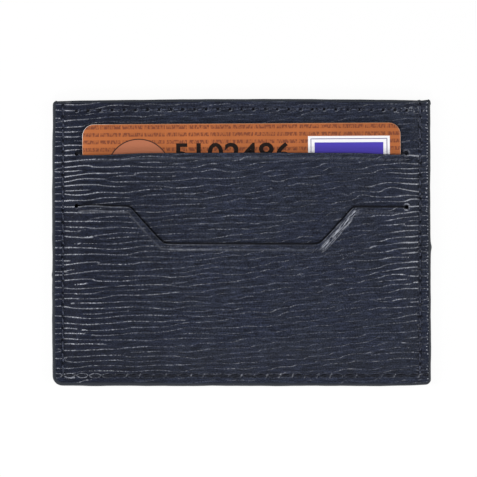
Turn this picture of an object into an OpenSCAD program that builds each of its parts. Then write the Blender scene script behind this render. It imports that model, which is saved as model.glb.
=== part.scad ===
// Flat leather card holder: two slit pockets in the front panel, a centre pocket behind it, and a sample card.
// It lies on its back. +X is right, +Y is towards the pocket mouths and +Z comes out of the front face.
// The origin is the middle of the back face.

/* [Card] */
// Width of the card
card_w = 85.6; // [84:0.1:90]
// Height of the card
card_h = 54; // [50:0.1:58]
// Thickness of the card
card_t = 0.76; // [0.5:0.02:0.9]
// Corner radius of the card
card_r = 3.2; // [2:0.1:4]
// Free gap above and below the card in its pocket
card_clear = 0.12; // [0.08:0.02:0.2]
// Free gap at each side of the card in its pocket
side_room = 0.2; // [0.1:0.05:0.4]
// Height of the card that shows above the upper slit
card_show = 8.1; // [6:0.1:10]

/* [Outline] */
// Width of the border from the card's side to the holder's side edge
side_border = 7.95; // [7.5:0.05:10]
// Height of the border from the card's bottom edge to the holder's bottom edge
bottom_border = 16.7; // [15:0.1:20]
// Radius of the two bottom corners
bottom_corner_r = 2; // [1:0.1:2.5]
// Radius of the two top corners
top_corner_r = 1; // [0.6:0.1:2]
// Thickness of the paint on the outer cut edges
edge_coat_t = 0.4; // [0.2:0.05:0.5]

/* [Sheets] */
// Thickness of the grained leather
leather_t = 0.7; // [0.6:0.05:0.9]
// Thickness of each lining sheet
lining_t = 0.2; // [0.15:0.05:0.3]
// Free height inside the centre pocket
centre_room = 0.6; // [0.5:0.05:0.9]
// Width of the slope where the front rises over the centre pocket
swell_ramp = 1.5; // [1:0.1:1.8]

/* [Slits] */
// Distance from the top edge down to the upper slit
upper_slit_drop = 14.4; // [13:0.1:16]
// Distance from the upper slit down to the shoulders of the lower slit
slit_spacing = 14.2; // [12:0.1:17]
// Depth of the thumb notch below the shoulders
notch_depth = 10.1; // [6:0.1:12]
// Half width of the flat floor of the thumb notch
notch_half = 21.2; // [15:0.1:24]
// Half width between the shoulders of the thumb notch
shoulder_half = 30.2; // [26:0.1:34]
// Radius where the notch turns into its floor
notch_r = 1.5; // [0.5:0.1:3]
// Length of both slits past the pocket, at each end
slit_end = 1.4; // [1.2:0.1:1.8]
// Width of the cut
kerf = 0.35; // [0.25:0.05:0.5]
// Radius of the hole punched at each end of a slit
relief_r = 0.55; // [0.4:0.05:0.7]
// Free height for a card inside the lower slit
lower_slit_room = 0.85; // [0.8:0.05:1]
// Thickness of the paint on the slit lips
lip_coat_t = 0.2; // [0.1:0.05:0.25]
// Distance from a slit's lip to the line creased along it
crease_inset = 1.4; // [1:0.1:2]
// Width of the creased line
crease_w = 0.35; // [0.2:0.05:0.5]
// Depth of the creased line
crease_d = 0.1; // [0.05:0.01:0.2]

/* [Swell over the pockets] */
// Bare strip beside the swell, from the slope of the centre pocket
swell_margin = 0.1; // [0.05:0.05:0.3]
// Distance over which the swell widens below a slit
flare = 8; // [5:0.5:10]
// Radius of the bottom corners of the swell
swell_corner_r = 4; // [3:0.5:6]
// Length of the flat top of the middle panel past the row that stops the card
stop_margin = 2.1; // [1:0.1:4]
// Length of the slope at the bottom of the lower panel
lower_slope = 6; // [4:0.1:8]
// Height of the strip where the lower lining is glued behind the middle panel
glue_strip = 6; // [4:0.5:8]

/* [Stitching] */
// Distance from an outer edge to its row of stitches
stitch_inset = 2.7; // [2.4:0.1:2.9]
// Length of one stitch
stitch_pitch = 3.1; // [2.5:0.1:4]
// Width of the thread
thread_w = 0.45; // [0.3:0.05:0.5]
// Height of the thread where it lies in its groove
thread_h = 0.22; // [0.15:0.01:0.24]
// Length of the thread's leg along the row, inside a stitch hole
leg_w = 0.5; // [0.3:0.05:0.6]
// Free gap around the thread in its hole and groove
thread_clear = 0.04; // [0.02:0.01:0.06]
// Distance from the ends of the hem row to the side rows
hem_gap = 3.6; // [3.2:0.1:6]

/* [Hidden] */
$fn = 32;

// Heights of the sheets at the sewn margin, from the back face up
back_lining_z = leather_t;
front_lining_z = back_lining_z + lining_t;
upper_lining_z = front_lining_z + lining_t;
panel_z = upper_lining_z + lining_t;
margin_t = panel_z + leather_t;
back_stack_t = front_lining_z;

// Heights over the centre pocket and over the card
swell_z = panel_z + centre_room;
upper_face_z = swell_z + leather_t;
card_z = upper_face_z + card_clear;
lower_lining_z = card_z + card_t + card_clear;
middle_rise = lower_lining_z + lining_t - swell_z;
middle_face_z = swell_z + middle_rise + leather_t;
lower_rise = middle_face_z + lower_slit_room - swell_z;
total_t = swell_z + lower_rise + leather_t;

// Places across the face
holder_w = card_w + 2 * side_border;
holder_h = upper_slit_drop - card_show + card_h + bottom_border;
leather_w = holder_w - 2 * edge_coat_t;
leather_h = holder_h - 2 * edge_coat_t;
plateau_half = card_w / 2 + side_room;
slit_half = plateau_half + slit_end;
top_y = holder_h / 2;
upper_slit_y = top_y - upper_slit_drop;
shoulder_y = upper_slit_y - slit_spacing;
notch_y = shoulder_y - notch_depth;
notch_angle = atan2(notch_depth, shoulder_half - notch_half);
crease_start = kerf + crease_inset;
card_bottom_y = upper_slit_y + card_show - card_h;
side_row_x = holder_w / 2 - stitch_inset;
end_row_y = holder_h / 2 - stitch_inset;
hole_w = thread_w + 2 * thread_clear;
hole_l = leg_w + 2 * thread_clear;
groove_d = thread_h + thread_clear;
swell_half = side_row_x - hole_w;
swell_bottom_y = -end_row_y + hole_w;
body_half = swell_half - swell_ramp - swell_margin;
body_bottom_y = swell_bottom_y + swell_ramp + swell_margin;
stop_y = card_bottom_y - hole_w;
middle_slope = stop_y - stop_margin - body_bottom_y;

// Rows of stitches: how many, and their true pitch
side_row_l = end_row_y + holder_h / 2 - edge_coat_t - hole_l;
side_count = floor(side_row_l / stitch_pitch);
side_pitch = side_row_l / side_count;
bottom_count = floor(2 * side_row_x / stitch_pitch);
bottom_pitch = 2 * side_row_x / bottom_count;
hem_l = 2 * (side_row_x - hem_gap);
hem_count = floor(hem_l / stitch_pitch);
hem_pitch = hem_l / hem_count;
stop_l = 2 * (plateau_half - hole_l - thread_clear);
stop_count = floor(stop_l / stitch_pitch);
stop_pitch = stop_l / stop_count;

// Solid size that is safely larger than the holder
beyond = 2 * holder_w;
dome_steps = 5;
corner_steps = 5;
slice_t = 0.01;
navy = [0.14, 0.155, 0.215];
navy_lining = [0.09, 0.10, 0.15];
navy_thread = [0.07, 0.08, 0.12];
navy_paint = [0.10, 0.11, 0.14];
card_orange = [0.80, 0.42, 0.20];

// The space between a sharp corner and its rounding; sx and sy point out of the corner
module corner_waste(x, y, r, sx, sy) {
    difference() {
        translate([x + sx * (1 - r) / 2, y + sy * (1 - r) / 2]) square(1 + r, center = true);
        translate([x - sx * r, y - sy * r]) circle(r);
    }
}

// A rectangle with one radius at the bottom corners and another at the top corners
module round_rectangle(w, h, bottom_r, top_r) {
    difference() {
        square([w, h], center = true);
        for (side = [-1, 1]) {
            corner_waste(side * w / 2, -h / 2, bottom_r, side, -1);
            corner_waste(side * w / 2, h / 2, top_r, side, 1);
        }
    }
}

module holder_outline() {
    round_rectangle(holder_w, holder_h, bottom_corner_r, top_corner_r);
}

// The shape that each full sheet is cut to, inside the edge paint
module sheet_outline() {
    round_rectangle(leather_w, leather_h, bottom_corner_r - edge_coat_t, top_corner_r - edge_coat_t);
}

// The low swell of the front sheets over the centre pocket: a profile across meets a profile along
module centre_swell() {
    top_half = swell_half - swell_ramp;
    intersection() {
        rotate([90, 0, 0]) linear_extrude(beyond, center = true)
            polygon([[-swell_half, -lining_t], [swell_half, -lining_t], [swell_half, 0],
                [top_half, centre_room], [-top_half, centre_room], [-swell_half, 0]]);
        rotate([90, 0, 90]) linear_extrude(beyond, center = true)
            polygon([[swell_bottom_y, -lining_t], [holder_h, -lining_t], [holder_h, centre_room],
                [swell_bottom_y + swell_ramp, centre_room], [swell_bottom_y, 0]]);
    }
}

// Everything below the back of a front sheet whose sewn margin lies at height z
module below_front(z) {
    translate([0, 0, z - leather_t]) linear_extrude(leather_t) square(beyond, center = true);
    translate([0, 0, z]) centre_swell();
}

// A front sheet of thickness t, flat at the seams and raised over the centre pocket
module front_sheet(z, t) {
    intersection() {
        linear_extrude(total_t) sheet_outline();
        difference() {
            below_front(z + t);
            below_front(z);
        }
    }
}

// Half of one level line of a swell, drawn in by the share s of its slope
function swell_side(mouth_y, slope, s) =
    let (half = body_half - (body_half - plateau_half) * s, bottom = body_bottom_y + slope * s)
    concat(
        [[slit_half - (slit_half - plateau_half) * s, mouth_y], [half, mouth_y - flare]],
        [for (i = [0:corner_steps]) let (a = -90 * i / corner_steps)
            [half - swell_corner_r + swell_corner_r * cos(a), bottom + swell_corner_r + swell_corner_r * sin(a)]]
    );

function mirrored(points) = [for (i = [len(points) - 1:-1:0]) [-points[i][0], points[i][1]]];

// The swell of the leather below a slit: level lines on a quarter ellipse, cut off square at the slit
module pocket_swell(mouth_y, rise, slope) {
    hull() {
        for (k = [0:dome_steps]) {
            a = 90 * k / dome_steps;
            side = swell_side(mouth_y, slope, 1 - cos(a));
            translate([0, 0, rise * sin(a) - slice_t]) linear_extrude(slice_t)
                polygon(concat(side, mirrored(side)));
        }
    }
}

// The cut of the lower slit, moved by d towards the lower panel, out to the half length x_end
function slit_side(d, x_end) =
    let (mid = notch_half - notch_r * tan(notch_angle / 2), shoulder = shoulder_half + d * tan(notch_angle / 2))
    concat(
        [[x_end, shoulder_y - d], [shoulder, shoulder_y - d]],
        [for (i = [corner_steps:-1:0]) let (a = notch_angle * i / corner_steps)
            [mid + (notch_r + d) * sin(a), notch_y + notch_r - (notch_r + d) * cos(a)]]
    );

function slit_path(d, x_end) =
    let (side = slit_side(d, x_end))
    concat([for (p = side) [-p[0], p[1]]], reversed(side));

function reversed(points) = [for (i = [len(points) - 1:-1:0]) points[i]];

// The band between two lines of the lower slit
module slit_band(d0, d1, x_end) {
    polygon(concat(slit_path(d0, x_end), reversed(slit_path(d1, x_end))));
}

// Everything on the bottom side of the lower slit
module below_slit() {
    polygon(concat(slit_path(0, beyond), [[beyond, -beyond], [-beyond, -beyond]]));
}

// The panel's leather above the lower slit: the upper panel and the middle panel
module leather_above_slit() {
    difference() {
        front_sheet_with_middle(panel_z + leather_t);
        front_sheet_with_middle(panel_z);
        linear_extrude(beyond) below_slit();
    }
}

module front_sheet_with_middle(z) {
    below_front(z);
    translate([0, 0, z + centre_room]) pocket_swell(upper_slit_y, middle_rise, middle_slope);
}

// The panel's leather below the lower slit
module leather_below_slit() {
    intersection() {
        linear_extrude(beyond) below_slit();
        difference() {
            front_sheet_with_lower(panel_z + leather_t);
            front_sheet_with_lower(panel_z);
        }
    }
}

module front_sheet_with_lower(z) {
    front_sheet_with_middle(z);
    translate([0, 0, z + centre_room]) pocket_swell(shoulder_y, lower_rise, lower_slope);
}

// Stitch holes of the side and bottom rows
module seam_holes() {
    for (side = [-1, 1], i = [0:side_count])
        translate([side * side_row_x, -end_row_y + i * side_pitch]) square([hole_w, hole_l], center = true);
    for (i = [1:bottom_count - 1])
        translate([-side_row_x + i * bottom_pitch, -end_row_y]) square([hole_l, hole_w], center = true);
}

module hem_holes() {
    for (i = [0:hem_count])
        translate([-hem_l / 2 + i * hem_pitch, end_row_y]) square([hole_l, hole_w], center = true);
}

module stop_holes() {
    for (i = [0:stop_count])
        translate([-stop_l / 2 + i * stop_pitch, stop_y]) square([hole_l, hole_w], center = true);
}

// Grooves that the threads of the seam lie in
module seam_grooves() {
    for (side = [-1, 1])
        translate([side * side_row_x, -end_row_y + side_row_l / 2])
            square([hole_w, side_row_l + hole_l], center = true);
    translate([0, -end_row_y]) square([2 * side_row_x - hole_w, hole_w], center = true);
}

module hem_groove() {
    translate([0, end_row_y]) square([hem_l + hole_l, hole_w], center = true);
}

module cut_through(z0, z1) {
    translate([0, 0, z0]) linear_extrude(z1 - z0) children();
}

// One row of lockstitch thread along +X from its first hole: loops on the face, legs down to the lock.
// The face is at height 0; lead is the length of thread past the first and the last hole.
module stitch_row(count, pitch, leg_l, lead) {
    row_l = count * pitch;
    dip = thread_h / 2;
    loops = [for (i = [0:count - 1]) each [[i * pitch, -dip], [i * pitch + pitch / 4, 0], [(i + 0.75) * pitch, 0]]];
    legs = [for (i = [count:-1:0]) each [
        [i * pitch + leg_w / 2, -thread_h], [i * pitch + leg_w / 2, -leg_l],
        [i * pitch - leg_w / 2, -leg_l], [i * pitch - leg_w / 2, -thread_h]]];
    rotate([90, 0, 0]) linear_extrude(thread_w, center = true)
        polygon(concat([[-lead, -thread_h], [-lead, -dip]], loops, [[row_l, -dip], [row_l + lead, -dip],
            [row_l + lead, -thread_h]], legs));
}

// The three rows of the seam, seen from the face that the loops lie on
module seam_rows(leg_l) {
    for (side = [-1, 1])
        translate([side * side_row_x, -end_row_y, 0]) rotate(90) stitch_row(side_count, side_pitch, leg_l, leg_w / 2);
    translate([-side_row_x + bottom_pitch, -end_row_y, 0])
        stitch_row(bottom_count - 2, bottom_pitch, leg_l, bottom_pitch);
}

module hem_row(leg_l) {
    translate([-hem_l / 2, end_row_y, 0]) stitch_row(hem_count, hem_pitch, leg_l, leg_w / 2);
}

// Turns a row over, so that its loops lie on a back face and its legs point up
module turned_over() {
    mirror([0, 0, 1]) children();
}

module front_panel() {
    color(navy) difference() {
        intersection() {
            linear_extrude(beyond) sheet_outline();
            union() {
                leather_above_slit();
                leather_below_slit();
            }
        }
        translate([-slit_half, upper_slit_y, 0]) cube([2 * slit_half, kerf, beyond]);
        linear_extrude(beyond) slit_band(0, kerf, slit_half);
        for (side = [-1, 1], y = [upper_slit_y + kerf / 2, shoulder_y - kerf / 2])
            translate([side * slit_half, y, 0]) cylinder(h = beyond, r = relief_r);
        linear_extrude(beyond) seam_holes();
        linear_extrude(beyond) hem_holes();
        cut_through(margin_t - groove_d, beyond) seam_grooves();
        cut_through(upper_face_z - groove_d, beyond) hem_groove();
        cut_through(total_t - crease_d, beyond) slit_band(crease_start, crease_start + crease_w, plateau_half);
        translate([-plateau_half, upper_slit_y - crease_inset - crease_w, middle_face_z - crease_d])
            cube([2 * plateau_half, crease_w, beyond]);
    }
}

module lower_pocket_lining() {
    lining_top_y = shoulder_y + glue_strip;
    lining_l = lining_top_y - stop_y + glue_strip;
    color(navy_lining) difference() {
        translate([-plateau_half + card_clear, lining_top_y - lining_l, lower_lining_z])
            cube([2 * (plateau_half - card_clear), lining_l, lining_t]);
        linear_extrude(beyond) stop_holes();
    }
}

module upper_pocket_lining() {
    color(navy_lining) difference() {
        front_sheet(upper_lining_z, lining_t);
        linear_extrude(beyond) seam_holes();
        linear_extrude(beyond) hem_holes();
        linear_extrude(beyond) stop_holes();
    }
}

module front_lining() {
    color(navy_lining) difference() {
        front_sheet(front_lining_z, lining_t);
        linear_extrude(beyond) seam_holes();
        linear_extrude(beyond) hem_holes();
    }
}

module back_lining() {
    color(navy_lining) translate([0, 0, back_lining_z]) linear_extrude(lining_t) difference() {
        sheet_outline();
        seam_holes();
        hem_holes();
    }
}

module back_panel() {
    color(navy) difference() {
        linear_extrude(leather_t) difference() {
            sheet_outline();
            seam_holes();
            hem_holes();
        }
        cut_through(-groove_d, groove_d) seam_grooves();
        cut_through(-groove_d, groove_d) hem_groove();
    }
}

// The needle thread lies on the front and locks with the bobbin thread in the middle of the margin
module seam_needle_thread() {
    color(navy_thread) translate([0, 0, margin_t]) seam_rows(margin_t / 2 - thread_clear);
}

module seam_bobbin_thread() {
    color(navy_thread) turned_over() seam_rows(margin_t / 2 - thread_clear);
}

module front_hem_needle_thread() {
    stack_t = leather_t + 2 * lining_t;
    color(navy_thread) translate([0, 0, upper_face_z]) hem_row(stack_t / 2);
}

module front_hem_bobbin_thread() {
    stack_t = leather_t + 2 * lining_t;
    face_z = front_lining_z + centre_room;
    color(navy_thread) translate([0, 0, face_z - thread_h - thread_clear])
        turned_over() hem_row(stack_t / 2 + thread_h);
}

module back_hem_needle_thread() {
    color(navy_thread) turned_over() hem_row(back_stack_t / 2);
}

module back_hem_bobbin_thread() {
    color(navy_thread) translate([0, 0, back_stack_t + thread_h + thread_clear]) hem_row(back_stack_t / 2 + thread_h);
}

// The hidden row that sews the two pocket linings together just below the card
module pocket_stop_thread() {
    row_z = lower_lining_z + lining_t + thread_h + thread_clear;
    lining_back_z = upper_lining_z + centre_room;
    color(navy_thread) translate([-stop_l / 2, stop_y, row_z])
        stitch_row(stop_count, stop_pitch, row_z - lining_back_z - thread_clear, leg_w / 2);
}

// Paint on the cut edges of the left side, the bottom and the right side
module edge_coat_sides() {
    color(navy_paint) linear_extrude(margin_t) difference() {
        holder_outline();
        sheet_outline();
        translate([0, top_y]) square([leather_w - 2 * top_corner_r, 2 * top_corner_r], center = true);
    }
}

// Paint on the top edge of the front sheets, following their swell
module edge_coat_front_top() {
    front_stack_t = margin_t - front_lining_z;
    color(navy_paint) intersection() {
        translate([-leather_w / 2 + top_corner_r, top_y - edge_coat_t, 0])
            cube([leather_w - 2 * top_corner_r, edge_coat_t, total_t]);
        difference() {
            below_front(front_lining_z + front_stack_t);
            below_front(front_lining_z);
        }
    }
}

module edge_coat_back_top() {
    color(navy_paint) translate([-leather_w / 2 + top_corner_r, top_y - edge_coat_t, 0])
        cube([leather_w - 2 * top_corner_r, edge_coat_t, back_stack_t]);
}

module upper_lip_coat() {
    color(navy_paint) translate([-plateau_half, upper_slit_y, swell_z + middle_rise])
        cube([2 * plateau_half, lip_coat_t, leather_t]);
}

module lower_lip_coat() {
    color(navy_paint) translate([0, 0, swell_z + lower_rise]) linear_extrude(leather_t)
        slit_band(kerf - lip_coat_t, kerf, plateau_half);
}

module sample_card() {
    color(card_orange) translate([0, card_bottom_y + card_h / 2, card_z]) linear_extrude(card_t)
        round_rectangle(card_w, card_h, card_r, card_r);
}

front_panel();
lower_pocket_lining();
upper_pocket_lining();
front_lining();
back_lining();
back_panel();
seam_needle_thread();
seam_bobbin_thread();
front_hem_needle_thread();
front_hem_bobbin_thread();
back_hem_needle_thread();
back_hem_bobbin_thread();
pocket_stop_thread();
edge_coat_sides();
edge_coat_front_top();
edge_coat_back_top();
upper_lip_coat();
lower_lip_coat();
sample_card();
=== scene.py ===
"""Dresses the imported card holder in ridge-grained leather, cloth linings, sewn rows and painted edges."""

import math

import bpy
import numpy as np
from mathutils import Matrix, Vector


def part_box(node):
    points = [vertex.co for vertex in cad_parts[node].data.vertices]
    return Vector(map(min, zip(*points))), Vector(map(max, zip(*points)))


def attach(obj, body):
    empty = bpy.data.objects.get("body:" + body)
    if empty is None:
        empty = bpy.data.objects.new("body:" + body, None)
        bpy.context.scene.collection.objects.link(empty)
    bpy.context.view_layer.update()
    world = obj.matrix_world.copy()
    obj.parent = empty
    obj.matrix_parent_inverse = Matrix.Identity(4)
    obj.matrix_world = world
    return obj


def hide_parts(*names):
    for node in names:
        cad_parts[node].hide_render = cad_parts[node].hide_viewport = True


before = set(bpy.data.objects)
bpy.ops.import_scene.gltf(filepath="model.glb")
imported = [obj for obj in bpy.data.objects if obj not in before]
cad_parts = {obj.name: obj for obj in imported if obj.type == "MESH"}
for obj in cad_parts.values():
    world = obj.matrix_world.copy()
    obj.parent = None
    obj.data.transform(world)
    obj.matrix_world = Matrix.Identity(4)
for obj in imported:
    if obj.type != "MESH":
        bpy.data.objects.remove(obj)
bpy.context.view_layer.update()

bl_info = {
    "name": "Leather card holder",
    "version": (1, 0, 0),
    "blender": (4, 5, 0),
    "location": "View3D > Sidebar > Card holder",
    "description": "Makes the visible pieces of a flat leather card holder around its packed solids",
    "category": "Add Mesh",
}

MM = 0.001


def box_mm(node):
    """Lowest and highest corner of a solid, in millimetres."""
    low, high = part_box(node)
    return np.array(low) / MM, np.array(high) / MM


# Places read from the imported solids, in millimetres
LEATHER_X, LEATHER_Y = box_mm("front_panel")[1][:2]
RIM_X, RIM_Y, MARGIN_Z = box_mm("edge_coat_sides")[1]
UPPER_FACE_Z = box_mm("edge_coat_front_top")[1][2]
BACK_STACK_Z = box_mm("edge_coat_back_top")[1][2]
UPPER_LIP_LOW, UPPER_LIP_HIGH = box_mm("upper_lip_coat")
LOWER_LIP_LOW, LOWER_LIP_HIGH = box_mm("lower_lip_coat")
CARD_LOW, CARD_HIGH = box_mm("sample_card")
LINING_LOW, LINING_HIGH = box_mm("lower_pocket_lining")
BACK_Z = box_mm("back_panel")[1][2]
UPPER_LINING_Z = box_mm("upper_pocket_lining")[0][2]
HEM_X = box_mm("front_hem_needle_thread")[1][0]
SEAM_LOW, SEAM_HIGH = box_mm("seam_needle_thread")
STOP_LOW, STOP_HIGH = box_mm("pocket_stop_thread")

LEATHER_T = UPPER_LIP_HIGH[2] - UPPER_LIP_LOW[2]
LIP_COAT_T = UPPER_LIP_HIGH[1] - UPPER_LIP_LOW[1]
LINING_T = LINING_HIGH[2] - LINING_LOW[2]
CENTRE_ROOM = UPPER_FACE_Z - MARGIN_Z
MIDDLE_RISE = UPPER_LIP_HIGH[2] - UPPER_FACE_Z
PLATEAU_X = UPPER_LIP_HIGH[0]
SHOULDER_Y = LOWER_LIP_HIGH[1] - LIP_COAT_T
THREAD_W = STOP_HIGH[1] - STOP_LOW[1]
SEAM_ROW_X = SEAM_HIGH[0] - THREAD_W / 2
SEAM_ROW_Y = SEAM_LOW[1] + THREAD_W / 2
# From a side row to the hem's last hole, and the width of a thread where it goes through the leather
HEM_INSET = 3.6
LEG_W = 2 * (HEM_X - (SEAM_ROW_X - HEM_INSET))

# Corner radii at the bottom and at the top
LEFT_CORNERS = (2.1, 0.6)
RIGHT_CORNERS = (1.0, 0.15)
LINING_SETBACK = 0.05
LIP_STAND = 0.45
CARD_CORNER_R = 3.2
CARD_SHIFT = (0.1, -0.18)
CARD_TILT = math.radians(0.36)
# Depth of a thread's middle under the front face, and its height over the back face less its radius
FRONT_SINK = 0.19
BACK_SINK = 0.14
FRONT_GRAIN_SEED = 11
BACK_GRAIN_SEED = 29
# The three parts of the front panel, which the slits divide
LOWER, MIDDLE, UPPER = range(3)
# The row of small bumps beside the right edge, painted with bright glints
GLINT_X = 50.0
GLINT_PITCH = 0.92
# Where the bottom row's pale rings of painted highlight, on its left end, give way to ticks
RING_END = (-40.0, -33.0)
# Near-black painted shade for the stitch holes, the side grooves, the ovals under the bottom stitches, the
# stepped slit's cut and dark flecks along the right seam
SHADE_BLACK = (0.002, 0.002, 0.003)
# The picture's frame: its width and the holder's middle in pixels, and the pixels in a millimetre
PICTURE_PX = 477
HOLDER_PX = (241.55, 242.4)
PX_PER_MM = 3.711


def length(name, description, default_mm):
    """A length property, shown in the scene's unit."""
    return bpy.props.FloatProperty(
        name=name, description=description, default=default_mm * MM, min=0.0, precision=5, unit="LENGTH"
    )


def colour(name, description, rgb):
    """A colour property, in linear light."""
    return bpy.props.FloatVectorProperty(
        name=name, description=description, default=rgb, size=3, min=0.0, max=1.0, subtype="COLOR"
    )


class HolderSizes(bpy.types.PropertyGroup):
    """Sizes of the holder's surface detail."""

    kerf: length("Cut width", "Width of the two slits", 0.36)
    slit_half: length("Slit half length", "From the middle to the centre of a punched slit end", 44.4)
    punch_r: length("Punch radius", "Radius of the hole punched at a slit end", 0.55)
    notch_half: length("Notch half width", "Half width of the floor of the thumb notch", 21.02)
    shoulder_half: length("Shoulder half width", "Half width between the notch's shoulders", 30.02)
    notch_bend: length("Notch bend", "Softness of the turn into the notch's floor", 0.9)
    shoulder_bend: length("Shoulder bend", "Softness of the turn at a shoulder", 0.3)
    crease_inset: length("Crease inset", "From a slit's lip to the line creased along it", 1.5)
    crease_depth: length("Crease depth", "Depth of the creased line", 0.1)
    ridge_pitch: length("Ridge pitch", "Mean distance between two ridges of the grain", 1.53)
    ridge_height: length("Ridge height", "Height of the ridges of the grain", 0.075)
    stitch_pitch: length("Stitch length", "Length of one stitch", 3.1)
    bottom_pitch: length("Bottom stitch length", "Length of one stitch of the bottom row", 3.43)
    thread_r: length("Thread radius", "Half the thickness of the sewing thread", 0.21)
    mouth_gap: length("Mouth gap", "Opening of the empty lower pocket at its slit", 0.25)
    lip_sag: length("Lip sag", "How far the upper lip hangs at its ends below its middle", 0.4)


class HolderColours(bpy.types.PropertyGroup):
    """Colours of the holder's finishes."""

    leather: colour("Leather", "Dyed leather between the ridges", (0.0157, 0.0189, 0.0306))
    bluish: colour("Bluish leather", "Patches where the dye is bluer", (0.0131, 0.0164, 0.0313))
    # Painted highlight colour: the crest lines stand in for the side lights' gloss on the ridges; the pale
    # lines along the slits, the glints, loops, rings and ticks share it
    ridge: colour("Ridge", "Burnished crest of a ridge", (0.310, 0.324, 0.372))
    lining: colour("Lining", "Woven lining", (0.007, 0.008, 0.015))
    thread: colour("Thread", "Sewing thread", (0.0158, 0.0180, 0.0272))
    paint: colour("Edge paint", "Paint on the cut edges", (0.0120, 0.0150, 0.0215))
    rubbed: colour("Rubbed paint", "Paint on the left edge, rubbed paler", (0.0090, 0.0125, 0.0200))
    card: colour("Card", "Ground of the card's print", (0.462, 0.140, 0.044))
    card_dark: colour("Card fine print", "Rows of fine print on the card", (0.205, 0.058, 0.027))
    card_disc: colour("Card disc", "Plain disc on the card", (0.440, 0.155, 0.080))
    card_panel: colour("Card panel", "Filled panel on the card", (0.075, 0.052, 0.440))


def size_mm(name):
    """One of the holder's sizes, in millimetres."""
    return getattr(bpy.context.scene.card_holder_sizes, name) / MM


def colours():
    """The colours of the holder's finishes."""
    return bpy.context.scene.card_holder_colours


def smooth(t):
    """An S-curve from 0 to 1 as t goes from 0 to 1."""
    t = np.clip(t, 0.0, 1.0)
    return t * t * (3.0 - 2.0 * t)


def soft_ramp(t, bend):
    """0 for negative t and t for positive t, with the corner rounded over the length bend."""
    return 0.5 * (t + np.sqrt(t * t + bend * bend))


def bump_at(d, width):
    """A bell of height 1 and the given width around d = 0."""
    return np.exp(-((d / width) ** 2))


def listed(*parts):
    """Arrays of one shape as the columns of one list."""
    return np.stack(parts, axis=-1).reshape(-1, len(parts))


def bowed(points):
    """The sewn holder is not quite square: its top edge arches and stands up at the right seam and corner,
    its sides lean out and its bottom edge turns up at the right corner."""
    x, y, z = points.T
    share = x / RIM_X
    arch = smooth(y / RIM_Y) * (0.12 - np.where(x > 0, 0.53, 0.43) * share * share + 0.13 * share)
    stand = 0.2 * bump_at(x - 47.9, 0.35) + 0.24 * smooth((x - 48.2) / 2.0)
    arch = arch + smooth((y - 36.0) / 1.5) * stand
    low = smooth((-30.0 - y) / 8.0)
    arch = arch - low * (0.10 * smooth((46.0 - np.abs(x)) / 6.0) - 0.25 * smooth((x - 45.0) / 6.0))
    left = -0.19 * smooth((36.0 - y) / 14.0) + 0.15 * low
    right = 0.04 + 0.16 * smooth((20.0 - y) / 44.0)
    lean = np.where(x < 0, left, right) * smooth((np.abs(x) - SEAM_ROW_X) / 1.8)
    return listed(x + lean, y + arch, z)


def mesh_object(name, points_mm, faces, sharp_deg=50.0, sewn=True):
    """A piece made of points in millimetres and faces that index them, smooth except at sharp edges."""
    if sewn:
        points_mm = bowed(points_mm)
    mesh = bpy.data.meshes.new(name)
    mesh.from_pydata((points_mm * MM).tolist(), [], faces)
    mesh.polygons.foreach_set("use_smooth", np.ones(len(mesh.polygons), dtype=bool))
    mesh.set_sharp_from_angle(angle=math.radians(sharp_deg))
    mesh.update()
    piece = bpy.data.objects.new(name, mesh)
    bpy.context.scene.collection.objects.link(piece)
    return piece


def add_attribute(piece, name, values):
    """Stores one vector per point, for the piece's material."""
    attribute = piece.data.attributes.new(name, "FLOAT_VECTOR", "POINT")
    attribute.data.foreach_set("vector", np.ascontiguousarray(values, dtype=np.float32).ravel())


def finish_piece(piece, body, slot, material, *nodes):
    """Gives a piece its finish, puts it on its body and hides the solids that it stands for.
    Its slot is not used.
    """
    piece.data.materials.append(material)
    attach(piece, body)
    if nodes:
        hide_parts(*nodes)


def grid_quads(index):
    """Faces between neighbouring rows and columns of a table of point numbers, facing +Z."""
    quads = np.stack([index[:-1, :-1], index[:-1, 1:], index[1:, 1:], index[1:, :-1]], axis=-1)
    return quads.reshape(-1, 4)


def wall_quads(top, bottom):
    """Faces of a wall between two edges that run anticlockwise round a sheet, seen from above."""
    return np.stack([bottom[:-1], bottom[1:], top[1:], top[:-1]], axis=-1)


def ring_quads(rings, sides):
    """Faces of a tube of rings, each with the same number of sides."""
    i = np.arange(rings - 1)[:, None] * sides
    j = np.arange(sides)[None, :]
    k = (j + 1) % sides
    quads = np.stack([i + j, i + k, i + sides + k, i + sides + j], axis=-1)
    return quads.reshape(-1, 4)


def capped_tube(rings, sides):
    """Faces of a tube of rings with a flat cap at each end."""
    last = (rings - 1) * sides
    return ring_quads(rings, sides).tolist() + [list(range(sides))[::-1], list(range(last, last + sides))]


def corner_radius(x, y):
    """Radius of the leather's corner in each quarter: larger at the bottom, least at the top right."""
    low = np.where(x < 0, LEFT_CORNERS[0], RIGHT_CORNERS[0])
    high = np.where(x < 0, LEFT_CORNERS[1], RIGHT_CORNERS[1])
    return np.where(y < 0, low, high)


def round_corners(x, y, half_x, half_y):
    """Draws the square corners of a grid in to round ones: a corner's square is mapped to a quarter disc."""
    r = corner_radius(x, y)
    cx = half_x - r
    cy = half_y - r
    vx = np.abs(x) - cx
    vy = np.abs(y) - cy
    inside = (vx > 0) & (vy > 0)
    shrink = np.where(inside, np.maximum(vx, vy) / np.maximum(np.hypot(vx, vy), 1e-9), 1.0)
    new_x = np.where(inside, np.sign(x) * (cx + vx * shrink), x)
    new_y = np.where(inside, np.sign(y) * (cy + vy * shrink), y)
    return new_x, new_y


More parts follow.
